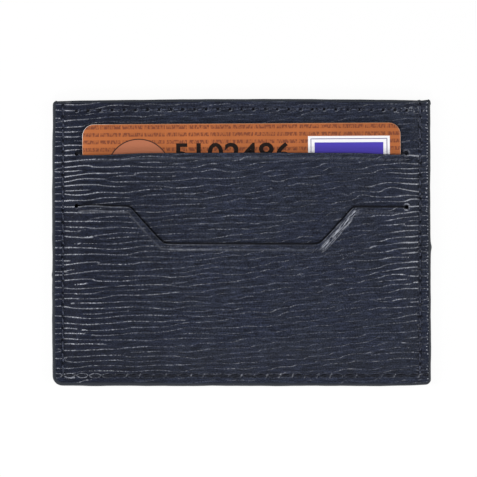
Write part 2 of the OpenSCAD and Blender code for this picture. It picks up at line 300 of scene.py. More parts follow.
def edge_roll(x, y):
    """How far the leather rolls down at its cut edge: a parabola over the last half millimetre."""
    r = corner_radius(x, y)
    vx = np.abs(x) - (LEATHER_X - r)
    vy = np.abs(y) - (LEATHER_Y - r)
    from_edge = r - np.where((vx > 0) & (vy > 0), np.hypot(vx, vy), np.maximum(vx, vy))
    return 0.16 * np.clip(1 - from_edge / 0.5, 0, 1) ** 2


def off_left(x):
    """0 beside the left seam, rising to 1 over the next 24 mm."""
    return smooth((x + 44.0) / 24.0)


def levelled(x, y):
    """Height on the sheet less the climb of the grain: slight on the left, steeper to the right and slight
    again at the right seam. Most of the climb comes in short steps, which sit elsewhere on each ridge, and
    the ridges sway a little."""
    slope = 0.018 + 0.07 * (1 + x / np.hypot(x, 22.0)) - 0.05 * (1 + (x - 40.0) / np.hypot(x - 40.0, 3.0))
    climb = 0.018 * x + 0.14 * soft_ramp(x, 22.0) - 0.10 * soft_ramp(x - 40.0, 3.0)
    turn = x / 9.0 + 0.32 * y + 0.6 * np.sin(y / 6.3 + 0.8 * np.sin(x / 17.0)) + 0.5 * np.sin(x / 13.0)
    turn = 2 * np.pi * turn
    step = np.sin(turn) + 0.25 * np.sin(2 * turn) + 0.07 * np.sin(3 * turn)
    sway = 0.15 * np.sin(x / 2.6 + y / 3.7 + 1.3 * np.sin(y / 2.1)) + 0.12 * np.sin(x / 4.4 - y / 2.3)
    return y - climb - 1.15 * slope * step - sway * (0.7 + 0.3 * off_left(x))


def slashes(x, y, seed):
    """Patches where the ridges tilt up to the right and crowd together: a sum of short slopes under bells,
    each with its own place, steepness and size."""
    rng = np.random.default_rng(seed)
    lift = np.zeros_like(x)
    for _ in range(70):
        off_x = x - rng.uniform(-RIM_X, RIM_X)
        off_y = y - rng.uniform(-RIM_Y, RIM_Y)
        steep = rng.uniform(0.10, 0.34)
        bell = bump_at(off_x, rng.uniform(2.2, 4.2))
        lift = lift + steep * off_x * bell * bump_at(off_y, rng.uniform(1.1, 1.9))
    return lift * (0.3 + 0.7 * off_left(x))


def ridge_field(x, y, seed):
    """The grain as one wave with wandering phase: many waves of nearly one pitch and direction, added up.
    Gives the cosine and the sine of its phase, and how far each ridge stands out, in height and in its
    painted crest highlight: where the sum is strong, and, as painted highlight, near the side seams, on the
    upper left and where a ridge climbs to the right; less near the bottom."""
    rng = np.random.default_rng(seed)
    waves = 70
    number = 2 * np.pi / size_mm("ridge_pitch") * (1 + 0.19 * rng.standard_normal(waves))
    tilt = np.radians(2.8) * rng.standard_normal(waves)
    start = rng.uniform(0, 2 * np.pi, waves)
    across = number * np.sin(tilt)
    up = number * np.cos(tilt)

    def level(x, y):
        return levelled(x, y) - slashes(x, y, seed + 1)

    climb = (level(x - 0.05, y) - level(x + 0.05, y)) / 0.1
    wave = np.exp(1j * (np.multiply.outer(x, across) + np.multiply.outer(level(x, y), up) + start))
    total = wave.sum(axis=-1)
    size = np.abs(total)
    turn_x = (np.conj(total) * (wave @ across)).real
    turn_y = (np.conj(total) * (wave @ up)).real
    climb = climb - turn_x * turn_y / (turn_y * turn_y + 0.05 * np.mean(turn_y * turn_y))
    # Painted highlight: the crests are made brighter near both side seams, on the upper left and where a
    # ridge climbs, and dimmer near the bottom, as the side lights would show them; the same numbers set the
    # ridges' height
    left = np.exp(-np.maximum(x + SEAM_ROW_X, 0) / 15.5)
    strength = smooth(size / math.sqrt(waves) / (0.52 - 0.30 * left))
    right = np.exp(-np.maximum(SEAM_ROW_X - x, 0) / 6.6)
    right = right * (1.2 - 0.2 * smooth((np.abs(y - 2.0) - 8.0) / 8.0) - 0.65 * smooth((-10.0 - y) / 14.0))
    stand = 0.26 - 0.10 * smooth(x / 24.0) + 0.71 * left + 1.27 * right
    stand = stand + 0.15 * smooth((climb - 0.15) / 0.3) * (1 - left)
    stand = stand + 0.4 * left * bump_at(y - 19.0, 8.0)
    stand = stand * (1 - 0.25 * smooth((-24.0 - y) / 6.0) * smooth((20.0 - x) / 20.0))
    return total.real / (size + 1e-9), total.imag / (size + 1e-9), strength * np.minimum(stand, 1.3)


def ridge_shape(cosine, grain):
    """Height of the ridges: the square of a raised cosine, as far as the grain stands out."""
    return (0.5 + 0.5 * cosine) ** 2 * grain * size_mm("ridge_height")


def no_grain(count):
    """The grain of smooth points: the bottom of a wave that does not stand out."""
    return np.tile((-1.0, 0.0, 0.0), (count, 1))


def upper_line(x):
    """Centre line of the upper slit: straight in the middle, a little lower towards the ends, where the card
    bears on the lip, and up again at the punched holes."""
    hang = smooth((np.abs(x) - np.where(x < 0, 25.0, 30.0)) / 14.0) - 0.8 * smooth((np.abs(x) - 42.4) / 1.6)
    return UPPER_LIP_LOW[1] + size_mm("kerf") / 2 - size_mm("lip_sag") * (0.25 + hang)


def slit_line(x):
    """Centre line of the stepped slit: flat shoulders, two slopes and the flat floor of the notch."""
    floor_y = LOWER_LIP_LOW[1] + size_mm("kerf") / 2
    shoulder_y = SHOULDER_Y + size_mm("kerf") / 2
    notch = size_mm("notch_half")
    shoulder = size_mm("shoulder_half")
    slope = (shoulder_y - floor_y) / (shoulder - notch)
    run = soft_ramp(np.abs(x) - notch, size_mm("notch_bend"))
    run = run - soft_ramp(np.abs(x) - shoulder, size_mm("shoulder_bend"))
    bow = 0.38 * bump_at(x + 40.0, 4.0) - 0.2 * smooth((x + 5.0) / 40.0)
    return floor_y + slope * run + bow


def slit_stretch(x):
    """How much longer the slit is than its span along X at each x: 1 on the flats, more on the slopes."""
    step = 0.05
    slope = (slit_line(x + step) - slit_line(x - step)) / (2 * step)
    return np.sqrt(1 + slope * slope)


def slope_share(x):
    """0 on the flats of the stepped slit and 1 on its slopes."""
    return np.clip((slit_stretch(x) - 1) / 0.4, 0, 1)


def half_gap(x):
    """Half the opening of a slit: half the cut's width, and a circle at each punched end."""
    from_end = np.abs(x) - size_mm("slit_half")
    punch = np.sqrt(np.maximum(size_mm("punch_r") ** 2 - from_end**2, 0.0))
    return np.maximum(np.where(from_end < 0, size_mm("kerf") / 2, 0.0), punch)


def slit_lean(x):
    """How far the stepped slit is pressed shut: on its slopes and its left shoulder."""
    return np.maximum(slope_share(x), smooth((-x - size_mm("shoulder_half")) / 2.0) * (x > -43.0))


def low_gap(x):
    """Half the opening of the stepped slit, which is narrower where it is pressed shut."""
    return half_gap(x) * (1 - 0.4 * slit_lean(x))


def above_cut(x, y):
    """Distance up from the stepped slit's upper side, square to the slit."""
    return (y - slit_line(x)) / slit_stretch(x) - low_gap(x)


def centre_rise(x, y):
    """Rise of the front sheets over the centre pocket, from the seams inwards."""
    side = smooth((SEAM_ROW_X - 0.5 - np.abs(x)) / 1.8)
    return CENTRE_ROOM * side * smooth((y - SEAM_ROW_Y - 0.5) / 1.8)


def pocket_rise(x, y, mouth_y, bottom_y, slope_l):
    """Share of the rise over a pocket: an S-curve in from both sides and up from the bottom.
    The sides start at the slit's ends and widen to the seams below the slit."""
    slit_half = size_mm("slit_half")
    body = SEAM_ROW_X - 0.75
    start = slit_half + (body - slit_half) * smooth((mouth_y - y) / 9.0)
    side = smooth((start - np.abs(x)) / (start - PLATEAU_X))
    return side * smooth((y - bottom_y) / slope_l)


def middle_rise(x, y):
    """Rise of the leather over the card's pocket."""
    return MIDDLE_RISE * pocket_rise(x, y, UPPER_LIP_LOW[1], SEAM_ROW_Y + 0.9, 9.5)


def lower_rise(x, y):
    """Further rise of the leather over the empty lower pocket: its thickness and the gap at the mouth."""
    return (LEATHER_T + size_mm("mouth_gap")) * pocket_rise(x, y, SHOULDER_Y, SEAM_ROW_Y + 0.7, 7.0)


def on_plateau(x):
    """1 over the pockets, falling to 0 towards the slits' ends."""
    return smooth((PLATEAU_X - np.abs(x)) / 6.0)


def cut_curl(x):
    """How far the leather above the stepped slit curls up at the cut: most where it is pressed shut."""
    return (0.12 + 0.10 * slit_lean(x)) * on_plateau(x)


def mouth_curl(x, y):
    """How far the lip of the upper pocket stands up off the card, fading down the panel."""
    down = np.maximum(upper_line(x) - half_gap(x) - y, 0)
    return LIP_STAND * on_plateau(x) * np.exp(-down / 4.0)


def row_places():
    """Length of the side, bottom and hem rows and the number of their stitches."""
    pitch = size_mm("stitch_pitch")
    side_l = SEAM_HIGH[1] - LEG_W / 2 - SEAM_ROW_Y
    bottom_l = 2 * SEAM_ROW_X
    hem_l = 2 * HEM_X - LEG_W
    return {
        "side": (side_l, max(1, int(round(side_l / pitch - 0.5)))),
        "bottom": (bottom_l, int(round(bottom_l / size_mm("bottom_pitch")))),
        "hem": (hem_l, int(hem_l / pitch)),
    }


def hole_distance(along, row_l, count):
    """Distance along a row from the nearest stitch hole."""
    pitch = row_l / count
    place = np.clip(along, 0.0, row_l) / pitch
    return np.abs(place - np.round(place)) * pitch + np.maximum(-along, 0) + np.maximum(along - row_l, 0)


def sewn_dent(x, y):
    """Depth that the sewn rows press into the leather: a groove along each row and a dimple at each hole.
    Gives the distance from the nearest row, too."""
    rows = row_places()
    hem_end = rows["hem"][0] / 2
    across = np.abs(np.abs(x) - SEAM_ROW_X)
    low = np.abs(y - SEAM_ROW_Y)
    high = np.abs(y + SEAM_ROW_Y)
    d = np.minimum(
        np.hypot(across, np.maximum(SEAM_ROW_Y - y, 0)), np.hypot(low, np.maximum(np.abs(x) - SEAM_ROW_X, 0))
    )
    d = np.minimum(d, np.hypot(high, np.maximum(np.abs(x) - hem_end, 0)))
    hole = np.minimum(
        np.hypot(across, hole_distance(y - SEAM_ROW_Y, *rows["side"])),
        np.hypot(low, hole_distance(x + SEAM_ROW_X, *rows["bottom"])),
    )
    hole = np.minimum(hole, np.hypot(high, hole_distance(x + hem_end, *rows["hem"])))
    return 0.10 * bump_at(d, 0.30) + 0.04 * bump_at(d, 0.95) + 0.25 * bump_at(hole, 0.32), d


def mirrored_columns(half):
    """Columns on both sides of the middle."""
    half = np.asarray(half)
    return np.concatenate([-half[:0:-1], half])


# Rows of the sheets' grids, measured in from an edge, across a seam, down from a lip and up from a cut
EDGE_ROWS = np.array([0.0, 0.04, 0.12, 0.25, 0.42, 0.65, 1.0])
SEAM_ROWS = np.array([-0.6, -0.4, -0.25, -0.12, 0.0, 0.12, 0.25, 0.4, 0.6, 0.9])
LIP_ROWS = np.array([2.4, 2.0, 1.78, 1.64, 1.52, 1.4, 1.26, 1.0, 0.7, 0.45, 0.28, 0.15, 0.06, 0.0])
CUT_ROWS = np.array([0.0, 0.06, 0.2, 0.45])
# Columns across a punched hole, in its radii, and across a seam
PUNCH_COLUMNS = np.array([-1.3, -1.0, -0.92, -0.75, -0.5, -0.25, 0, 0.25, 0.5, 0.75, 0.92, 1.0])
SEAM_COLUMNS = np.array([-0.55, -0.38, -0.24, -0.11, 0, 0.11, 0.24, 0.38, 0.55, 0.85])


def sheet_columns():
    """Columns of a grained sheet: closer at the notch's slopes, the slit ends, the seams and the edges."""
    slit_half = size_mm("slit_half")
    punch_r = size_mm("punch_r")
    bend = size_mm("notch_half") - 1.2
    shoulder = size_mm("shoulder_half")
    return mirrored_columns(np.concatenate([
        np.linspace(0, bend, 23, endpoint=False),
        np.linspace(bend, shoulder - 1.0, 23, endpoint=False),
        np.linspace(shoulder - 1.0, shoulder + 1.0, 14, endpoint=False),
        np.linspace(shoulder + 1.0, slit_half - 2.0, 15),
        slit_half + punch_r * PUNCH_COLUMNS,
        np.linspace(slit_half + 1.6 * punch_r, SEAM_ROW_X - 0.8, 5),
        SEAM_ROW_X + SEAM_COLUMNS,
        LEATHER_X - EDGE_ROWS[::-1],
    ]))


def rows_between(low, high, count):
    """Rows that share out the way between two edges, which may differ from column to column."""
    share = np.linspace(0, 1, count + 2)[1:-1, None]
    return low[None, :] * (1 - share) + high[None, :] * share


def panel_zones(x):
    """Rows of the lower, middle and upper parts of the front panel. Outside a slit's ends, where its gap
    is 0, the parts beside it share its line."""
    gap = half_gap(x)
    flat = np.zeros_like(x)
    stretch = slit_stretch(x)
    low_cut = slit_line(x) - low_gap(x) * stretch
    high_cut = slit_line(x) + low_gap(x) * stretch
    lip = upper_line(x) - gap
    mouth = upper_line(x) + gap + 0.4 * bump_at(np.abs(x) - size_mm("slit_half") + 1.0, 0.9) * (gap > 0)
    bottom = -LEATHER_Y + EDGE_ROWS[:, None] + flat
    seam = SEAM_ROW_Y + SEAM_ROWS[:, None] + flat
    low_lip = low_cut - LIP_ROWS[:, None] * stretch
    lower = np.concatenate([bottom, seam, rows_between(seam[-1], low_lip[0], 88), low_lip])
    cut = high_cut + CUT_ROWS[:, None] * stretch
    high_lip = lip - LIP_ROWS[:, None]
    middle = np.concatenate([cut, rows_between(cut[-1], high_lip[0], 44), high_lip])
    cut = mouth + CUT_ROWS[:, None]
    hem = -SEAM_ROW_Y + SEAM_ROWS[:, None] + flat
    top = LEATHER_Y - EDGE_ROWS[::-1, None] + flat
    upper = np.concatenate([cut, rows_between(cut[-1], hem[0], 22), hem, top])
    return lower, middle, upper


def border_share(x, y, zone):
    """Share of the grain that is left: less outside the side and bottom rows and beside the right seam, and
    in the upper part less from the left seam on and less again towards the right."""
    beside = smooth((np.abs(x) - SEAM_ROW_X) / 0.2)
    below = smooth((SEAM_ROW_Y - y) / 0.2)
    share = (1 - np.where(x < 0, 0.33, 0.52) * beside) * (1 - 0.26 * smooth((x - 45.6) / 1.9))
    share = share * (1 - (0.3 + 0.15 * smooth((x + 30.0) / 20.0)) * below)
    if zone == UPPER:
        share = share * (1 - 0.3 * smooth((x + 44.0) / 6.0) - 0.42 * smooth((x - 32.0) / 10.0))
    return share


def notch_lines(x, d, line):
    """Pale lines of painted highlight along the stepped slit, at a distance d from its lip: the crease, made
    wide on the right slope, doubled on the left shoulder, a little paler on the left slope, and streaked on
    the left of the notch's floor."""
    notch = size_mm("notch_half")
    shoulder = size_mm("shoulder_half")
    right_slope = smooth((x - notch - 0.2) / 1.0) * smooth((shoulder + 1.3 - x) / 1.2)
    marks = 5.5 * bump_at(d - 1.1, 0.34) + 4.8 * bump_at(d - 1.9, 0.17) + 2.0 * bump_at(d - 0.15, 0.14)
    line = line * (1 - 0.2 * smooth((x - shoulder) / 2.0))
    left_shoulder = smooth((-x - shoulder) / 1.0)
    line = line + (2.4 * bump_at(d - 0.15, 0.16) + 1.6 * bump_at(d - 1.5, 0.25)) * left_shoulder
    line = line * (1 - right_slope) + marks * right_slope
    left_slope = smooth((-x - notch + 1.0) / 1.0) * smooth((shoulder + 0.8 + x) / 0.8)
    line = line + 0.15 * bump_at(d - size_mm("crease_inset"), 0.16) * left_slope
    streak = np.exp(-np.maximum(x + 14.0, 0) / 9.0) * smooth((x + notch - 0.4) / 1.5)
    return line + (2.6 * bump_at(d - 1.45, 0.2) + 2.0 * bump_at(d - 0.12, 0.14)) * streak


def lip_detail(x, y, zone):
    """What lies beside a slit's lip: the distance d from it, its roll and creased line, how far the grain is
    pressed flat there, and the painted lines: pale painted highlights along the lip and the crease, and
    negative values, a painted shade, along the stepped slit's cut."""
    if zone == LOWER:
        d = np.abs(slit_line(x) - y) / slit_stretch(x) - low_gap(x)
        slope = slope_share(x)
    else:
        d = np.abs(upper_line(x) - y) - half_gap(x)
        slope = 0.4
    reach = smooth((size_mm("slit_half") + 0.5 - np.abs(x)) / 1.5)
    outside = np.maximum(d, 0)
    roll = 0.10 * np.clip(1 - outside / 0.4, 0, 1) ** 2
    crease = size_mm("crease_depth") * bump_at(outside - size_mm("crease_inset"), 0.17)
    pressed = 1 - smooth((outside - 0.9) / 1.1)
    line = 0.75 * bump_at(d - size_mm("crease_inset"), 0.28) + 0.5 * bump_at(d - 0.12, 0.14)
    if zone == LOWER:
        line = notch_lines(x, d, line)
    line = line * reach
    if zone == MIDDLE:
        # Painted shade along the cut, on the part above the stepped slit
        line = line - bump_at(above_cut(x, y), 0.17) * reach
    return d, (roll + crease) * reach, pressed * reach * (0.25 + 0.4 * slope), line


def front_panel_surface(x, y, zone):
    """One part of the panel: points of its grain side and of its flesh side, its grain with the strength of
    its painted crest highlights, and its plan with the painted highlight and shade lines. Its height adds
    the rises of the pockets, the lips' curls and the ridges, less what the edge, the rows and the lips press
    in."""
    base = MARGIN_Z + centre_rise(x, y)
    if zone != UPPER:
        base = base + middle_rise(x, y)
    if zone == MIDDLE:
        base = base + cut_curl(x) * np.exp(-np.maximum(above_cut(x, y), 0) / 2.2) + mouth_curl(x, y)
    if zone == LOWER:
        base = base + lower_rise(x, y)
    flesh = base - LEATHER_T
    dent, row_d = sewn_dent(x, y)
    cosine, sine, strength = ridge_field(x, y, FRONT_GRAIN_SEED)
    grain = strength * (1 - 0.8 * bump_at(row_d, 0.36)) * border_share(x, y, zone)
    lip = np.zeros_like(x)
    line = np.zeros_like(x)
    if zone != UPPER:
        d, lip, pressed, line = lip_detail(x, y, zone)
        swell = 0.05 * np.sin(x / 7.0 + 0.4 * np.sin(y / 6.0)) * np.sin(y / 5.2 + 0.5 * np.sin(x / 9.0))
        base = base + swell * on_plateau(x) * smooth(d / 3.0)
        grain = grain * (1 - pressed)
    face = base + ridge_shape(cosine, grain) - edge_roll(x, y) - dent - lip
    return listed(x, y, face), listed(x, y, flesh), listed(cosine, sine, grain), listed(x, y, line)


def build_front_panel():
    """The panel as one closed sheet: three parts of rows, joined outside the slit ends and open between."""
    x_line = sheet_columns()
    shut = half_gap(x_line) <= 1e-6
    parts = []
    tables = []
    count = 0
    for zone, y in enumerate(panel_zones(x_line)):
        x, y = round_corners(np.broadcast_to(x_line, y.shape), y, LEATHER_X, LEATHER_Y)
        parts.append(front_panel_surface(x, y, zone))
        table = count + np.arange(y.size).reshape(y.shape)
        if tables:
            table[0, shut] = tables[-1][-1, shut]
        tables.append(table)
        count += y.size
    face, flesh, grain, plan = (np.concatenate(part) for part in zip(*parts))
    lower, middle, upper = tables
    quads = np.concatenate([grid_quads(table) for table in tables])
    inner = np.flatnonzero(~shut)
    span = slice(inner[0] - 1, inner[-1] + 2)
    left, right = (np.concatenate([lower[:, side], middle[1:, side], upper[1:, side]]) for side in (0, -1))
    edges = [
        lower[0, :], right, upper[-1, ::-1], left[::-1],
        lower[-1, span][::-1], middle[0, span], middle[-1, span][::-1], upper[0, span],
    ]
    walls = np.concatenate([wall_quads(edge, edge + count) for edge in edges])
    faces = np.concatenate([quads, quads[:, ::-1] + count, walls])
    used, faces = np.unique(faces, return_inverse=True)
    points = np.concatenate([face, flesh])[used]
    piece = mesh_object("front_panel_leather", points, faces.reshape(-1, 4).tolist())
    # The grain's third number sets the ridges' height and their painted crest highlight; the plan's third
    # number holds the painted highlight and shade lines
    add_attribute(piece, "grain", np.concatenate([grain, no_grain(count)])[used])
    add_attribute(piece, "plan", np.concatenate([plan, plan])[used])
    return piece


def closed_sheet(name, x_line, y_line, face_of, rounded=True):
    """A closed sheet on a grid. face_of gives its top and bottom height, and any grain of its underside."""
    y, x = np.meshgrid(y_line, x_line, indexing="ij")
    if rounded:
        x, y = round_corners(x, y, x_line[-1], y_line[-1])
    top, bottom, grain = face_of(x, y)
    count = x.size
    index = np.arange(count).reshape(x.shape)
    quads = grid_quads(index)
    loop = np.concatenate([index[0, :], index[1:, -1], index[-1, -2::-1], index[-2::-1, 0]])
    faces = np.concatenate([quads, quads[:, ::-1] + count, wall_quads(loop, loop + count)])
    piece = mesh_object(name, np.concatenate([listed(x, y, top), listed(x, y, bottom)]), faces.tolist())
    if grain is not None:
        plan = listed(x, y, 0 * x)
        add_attribute(piece, "grain", np.concatenate([no_grain(count), grain]))
        add_attribute(piece, "plan", np.concatenate([plan, plan]))
    return piece


def back_panel_faces(x, y):
    """The back leather: flat inside, with the grain, the sewn rows and the rolled edge on the underside."""
    dent, row_d = sewn_dent(x, y)
    cosine, sine, strength = ridge_field(x, y, BACK_GRAIN_SEED)
    grain = strength * (1 - 0.75 * bump_at(row_d, 0.55))
    under = size_mm("ridge_height") - ridge_shape(cosine, grain) + edge_roll(x, y) + dent
    return np.full_like(x, BACK_Z), np.minimum(under, BACK_Z - 0.1), listed(cosine, sine, grain)


def sweep(path, inward, profile):
    """Carries a closed profile along a path. The profile's first number is measured inwards and its second
    up. Gives points and faces, with flat caps at both ends."""
    up = np.array([0.0, 0.0, 1.0])
    rings = path[:, None, :] + profile[..., 0:1] * inward[:, None, :] + profile[..., 1:2] * up
    return rings.reshape(-1, 3), capped_tube(*rings.shape[:2])


def bead_profile(inside, outside, low, high, points=14):
    """A bead of paint: flat where it lies on the leather, and a full curve on the outer side."""
    a = np.linspace(np.pi / 2, 3 * np.pi / 2, points)
    curve_in = -outside * np.abs(np.cos(a)) ** 0.75
    curve_up = (low + high) / 2 + (high - low) / 2 * np.sign(np.sin(a)) * np.abs(np.sin(a)) ** 0.6
    back = np.array([[inside, low + 0.03], [inside, high - 0.03]])
    return np.concatenate([np.stack([curve_in, curve_up], axis=-1), back])


def paint_bead(name, node, paint, path, inward, profile, outer=1.0, inner=1.0):
    """A bead of paint along a path. The profile's outer and inner sides are stretched, point by point."""
    rings = np.broadcast_to(profile, (len(path), *profile.shape)).copy()
    stretch = np.where(rings[..., 0] < 0, np.reshape(outer, (-1, 1)), np.reshape(inner, (-1, 1)))
    rings[..., 0] = rings[..., 0] * stretch
    points, faces = sweep(path, inward, rings)
    finish_piece(mesh_object(name, points, faces, 60.0), "holder", "edge_paint", paint, node)


def edge_half(bottom_r, top_r):
    """One side of the leather's edge, from the top corner down to the middle of the bottom, on the left."""
    arc = np.radians(np.linspace(0, 90, 9))
    turn = np.stack([np.cos(arc), np.sin(arc)], axis=-1)
    top = (-LEATHER_X + top_r, LEATHER_Y - top_r) + top_r * turn[:, ::-1] * (-1, 1)
    low = (-LEATHER_X + bottom_r, -LEATHER_Y + bottom_r) - bottom_r * turn
    side_y = np.linspace(LEATHER_Y - top_r, -LEATHER_Y + bottom_r, 150)[1:-1]
    side = np.stack([np.full_like(side_y, -LEATHER_X), side_y], axis=-1)
    floor_x = np.linspace(-LEATHER_X + bottom_r, 0, 38)[1:]
    floor = np.stack([floor_x, np.full_like(floor_x, -LEATHER_Y)], axis=-1)
    return np.concatenate([top, side, low, floor])


def side_edge_line():
    """The leather's edge from the top left corner down, round the bottom and up to the top right corner."""
    right = edge_half(*RIGHT_CORNERS)[:-1] * (-1, 1)
    return np.concatenate([edge_half(*LEFT_CORNERS), right[::-1]])


def leftward(line):
    """Level unit vectors to the left of a plan line."""
    run = np.gradient(line, axis=0)
    run = run / np.linalg.norm(run, axis=1, keepdims=True)
    return listed(-run[:, 1], run[:, 0], np.zeros(len(line)))


def wander(t, seed):
    """A slow, small unevenness along a hand-finished edge, from -1 to 1: four sines of different lengths."""
    rng = np.random.default_rng(seed)
    waves = np.array([0.11, 0.23, 0.41, 0.9])
    weight = np.array([0.4, 0.3, 0.2, 0.1])
    return (weight * np.sin(np.multiply.outer(t, waves) * 2.2 + rng.uniform(0, 6.28, 4))).sum(axis=-1)


def stitch_tubes(starts, step, across, sign):
    """Stitches of one row: each is a two-ply thread that comes out of one hole, lies on the leather and
    dives into the next. starts holds one point per stitch, step is the way to the next hole."""
    sides = 8
    rings = 9
    r = size_mm("thread_r")
    t = np.linspace(0, 1, rings)
    a = np.linspace(0, 2 * np.pi, sides, endpoint=False)
    lift = 0.10 * np.sin(np.pi * t) ** 0.5 - 0.42 * (np.abs(2 * t - 1) ** 7)
    slant = 0.10 * (2 * t - 1)
    ply = 1 + 0.16 * np.cos(2 * (a[None, :] - 2 * np.pi * 1.35 * t[:, None]))
    side = r * 1.12 * np.cos(a)[None, :] * ply + slant[:, None]
    up = sign * (r * 0.86 * np.sin(a)[None, :] * ply + lift[:, None])
    along = (0.03 + 0.94 * t)[:, None] + 0 * a[None, :]
    shape = along[..., None] * step + side[..., None] * across
    shape[..., 2] += up
    points = starts[:, None, None, :] + shape[None]
    size = rings * sides
    quads = ring_quads(rings, sides)
    first = np.arange(sides)
    caps = np.stack([first[::-1], first + size - sides])
    if sign < 0:
        quads = quads[:, ::-1]
        caps = caps[:, ::-1]
    offsets = (np.arange(len(starts)) * size)[:, None, None]
    quads = (quads[None] + offsets).reshape(-1, 4).tolist()
    return points.reshape(-1, 3), quads + (caps[None] + offsets).reshape(-1, sides).tolist()


def row_of_stitches(origin, direction, row_l, count, z, sign):
    """One straight row from its first hole; sign is 1 on a front face and -1 on a back face."""
    direction = np.array([*direction, 0.0])
    across = np.array([-direction[1], direction[0], 0.0])
    pitch = row_l / count
    starts = np.array([*origin, z]) + np.arange(count)[:, None] * pitch * direction
    return stitch_tubes(starts, pitch * direction, across, sign)


def seam_stitches(z, sign):
    """The left, bottom and right rows, as one list of points and one of faces."""
    rows = row_places()
    points = []
    faces = []
    start = 0
    for side, direction, row in ((-1, (0, 1), "side"), (-1, (1, 0), "bottom"), (1, (0, 1), "side")):
        origin = (side * SEAM_ROW_X, SEAM_ROW_Y)
        row_points, row_faces = row_of_stitches(origin, direction, *rows[row], z, sign)
        points.append(row_points)
        faces.extend([[i + start for i in face] for face in row_faces])
        start += len(row_points)
    return np.concatenate(points), faces


def hem_stitches(z, sign):
    """The row along the top edge."""
    hem_l, count = row_places()["hem"]
    return row_of_stitches((-hem_l / 2, -SEAM_ROW_Y), (1, 0), hem_l, count, z, sign)


def math_node(operation):
    """A method of a field that adds one math node."""
    return lambda field, *others: field.nodes.math(operation, field, *others)


class Field:
    """A number, place or colour that a shader works out at each point. Arithmetic on it adds math nodes."""

    __add__ = math_node("ADD")
    __sub__ = math_node("SUBTRACT")
    __mul__ = math_node("MULTIPLY")
    __truediv__ = math_node("DIVIDE")
    __abs__ = math_node("ABSOLUTE")
    __round__ = math_node("ROUND")
    sine = math_node("SINE")
    fraction = math_node("FRACT")

    def __init__(self, nodes, socket):
        self.nodes = nodes
        self.socket = socket

    def __rsub__(self, other):
        return self.nodes.math("SUBTRACT", other, self)

    def hypot(self, other):
        """The root of the sum of two squares."""
        return self.nodes.math("SQRT", self * self + other * other)

    def most(self, *others):
        """The largest of several numbers."""
        largest = self
        for other in others:
            largest = self.nodes.math("MAXIMUM", largest, other)
        return largest

    def clamped(self):
        """The same number, kept between 0 and 1."""
        self.socket.node.use_clamp = True
        return self

    def ramp(self, low, high, to_low=0.0, to_high=1.0, kind="SMOOTHSTEP"):
        """An S-curve from to_low to to_high as the number goes from low to high."""
        values = dict(enumerate((self, low, high, to_low, to_high)))
        return self.nodes.add("ShaderNodeMapRange", values, interpolation_type=kind)

    def fall(self, low, high, top=1.0):
        """An S-curve from top down to 0."""
        return self.ramp(low, high, top, 0.0)

    def line(self, low, high, to_low=0.0, to_high=1.0):
        """A straight ramp."""
        return self.ramp(low, high, to_low, to_high, "LINEAR")

    def noise(self, scale, detail=2.0, roughness=0.5):
        """Soft noise at a place."""
        values = {"Vector": self, "Scale": scale, "Detail": detail, "Roughness": roughness}
        return self.nodes.add("ShaderNodeTexNoise", values)

    def split(self):
        """The three numbers of a place."""
        first = self.nodes.add("ShaderNodeSeparateXYZ", {0: self})
        return [Field(self.nodes, socket) for socket in first.socket.node.outputs]


class Nodes:
    """Short calls that add nodes to a node tree."""

    def __init__(self, tree):
        self.tree = tree

    def put(self, socket, value):
        """Links a field to a socket, or sets the socket's own value. A colour gets its alpha."""
        if isinstance(value, Field):
            self.tree.links.new(value.socket, socket)
        elif socket.type == "RGBA":
            socket.default_value = (*value[:3], 1.0)
        else:
            socket.default_value = value

    def add(self, kind, values, output=0, **settings):
        """A new node with its settings and its inputs' values, as the field of one of its outputs."""
        made = self.tree.nodes.new(kind)
        for key, value in settings.items():
            setattr(made, key, value)
        for key, value in values.items():
            self.put(made.inputs[key], value)
        return Field(self, made.outputs[output])

    def math(self, operation, *values):
        """One math node."""
        return self.add("ShaderNodeMath", dict(enumerate(values)), operation=operation)

    def mix(self, share, a, b, blend="MIX"):
        """Colour a where share is 0, and b where it is 1."""
        values = {"Factor": share, 6: a, 7: b}
        return self.add("ShaderNodeMix", values, 2, data_type="RGBA", blend_type=blend)

    def place(self, scale=(1.0, 1.0, 1.0), turn=0.0, **settings):
        """Object coordinates, scaled, and turned about Z by an angle."""
        spot = self.add("ShaderNodeTexCoord", {}, "Object")
        values = {"Vector": spot, "Rotation": (0.0, 0.0, turn), "Scale": scale}
        return self.add("ShaderNodeMapping", values, **settings)

    def attribute(self, name):
        """The three numbers of one of the piece's own attributes."""
        return self.add("ShaderNodeAttribute", {}, "Vector", attribute_name=name).split()


class Finish(Nodes):
    """A material with one surface shader."""

    def __init__(self, name):
        self.material = bpy.data.materials.new(name)
        self.material.use_nodes = True
        super().__init__(self.material.node_tree)
        self.surface = self.tree.nodes["Principled BSDF"]

    def set(self, **values):
        """Sets the surface shader's sockets, by their names with underscores."""
        for key, value in values.items():
            self.put(self.surface.inputs[key.replace("_", " ")], value)

    def bump(self, height, strength, distance):
        """Shades the surface as if it had this height."""
        values = {"Strength": strength, "Distance": distance, "Height": height}
        self.set(Normal=self.add("ShaderNodeBump", values))


def finish(name, maker, *values):
    """A finish by its name, made at its first use."""
    return bpy.data.materials.get(name) or maker(name, *values)


def row_hole(along, across, first, pitch):
    """Distance from the nearest hole of a straight row that starts at first and goes on at the given pitch,
    and how far that hole lies along the row. Holes are drawn out a little along the row."""
    place = (along - first) / pitch
    off = (place - round(place)) * pitch
    return (off * 0.8).hypot(across), off


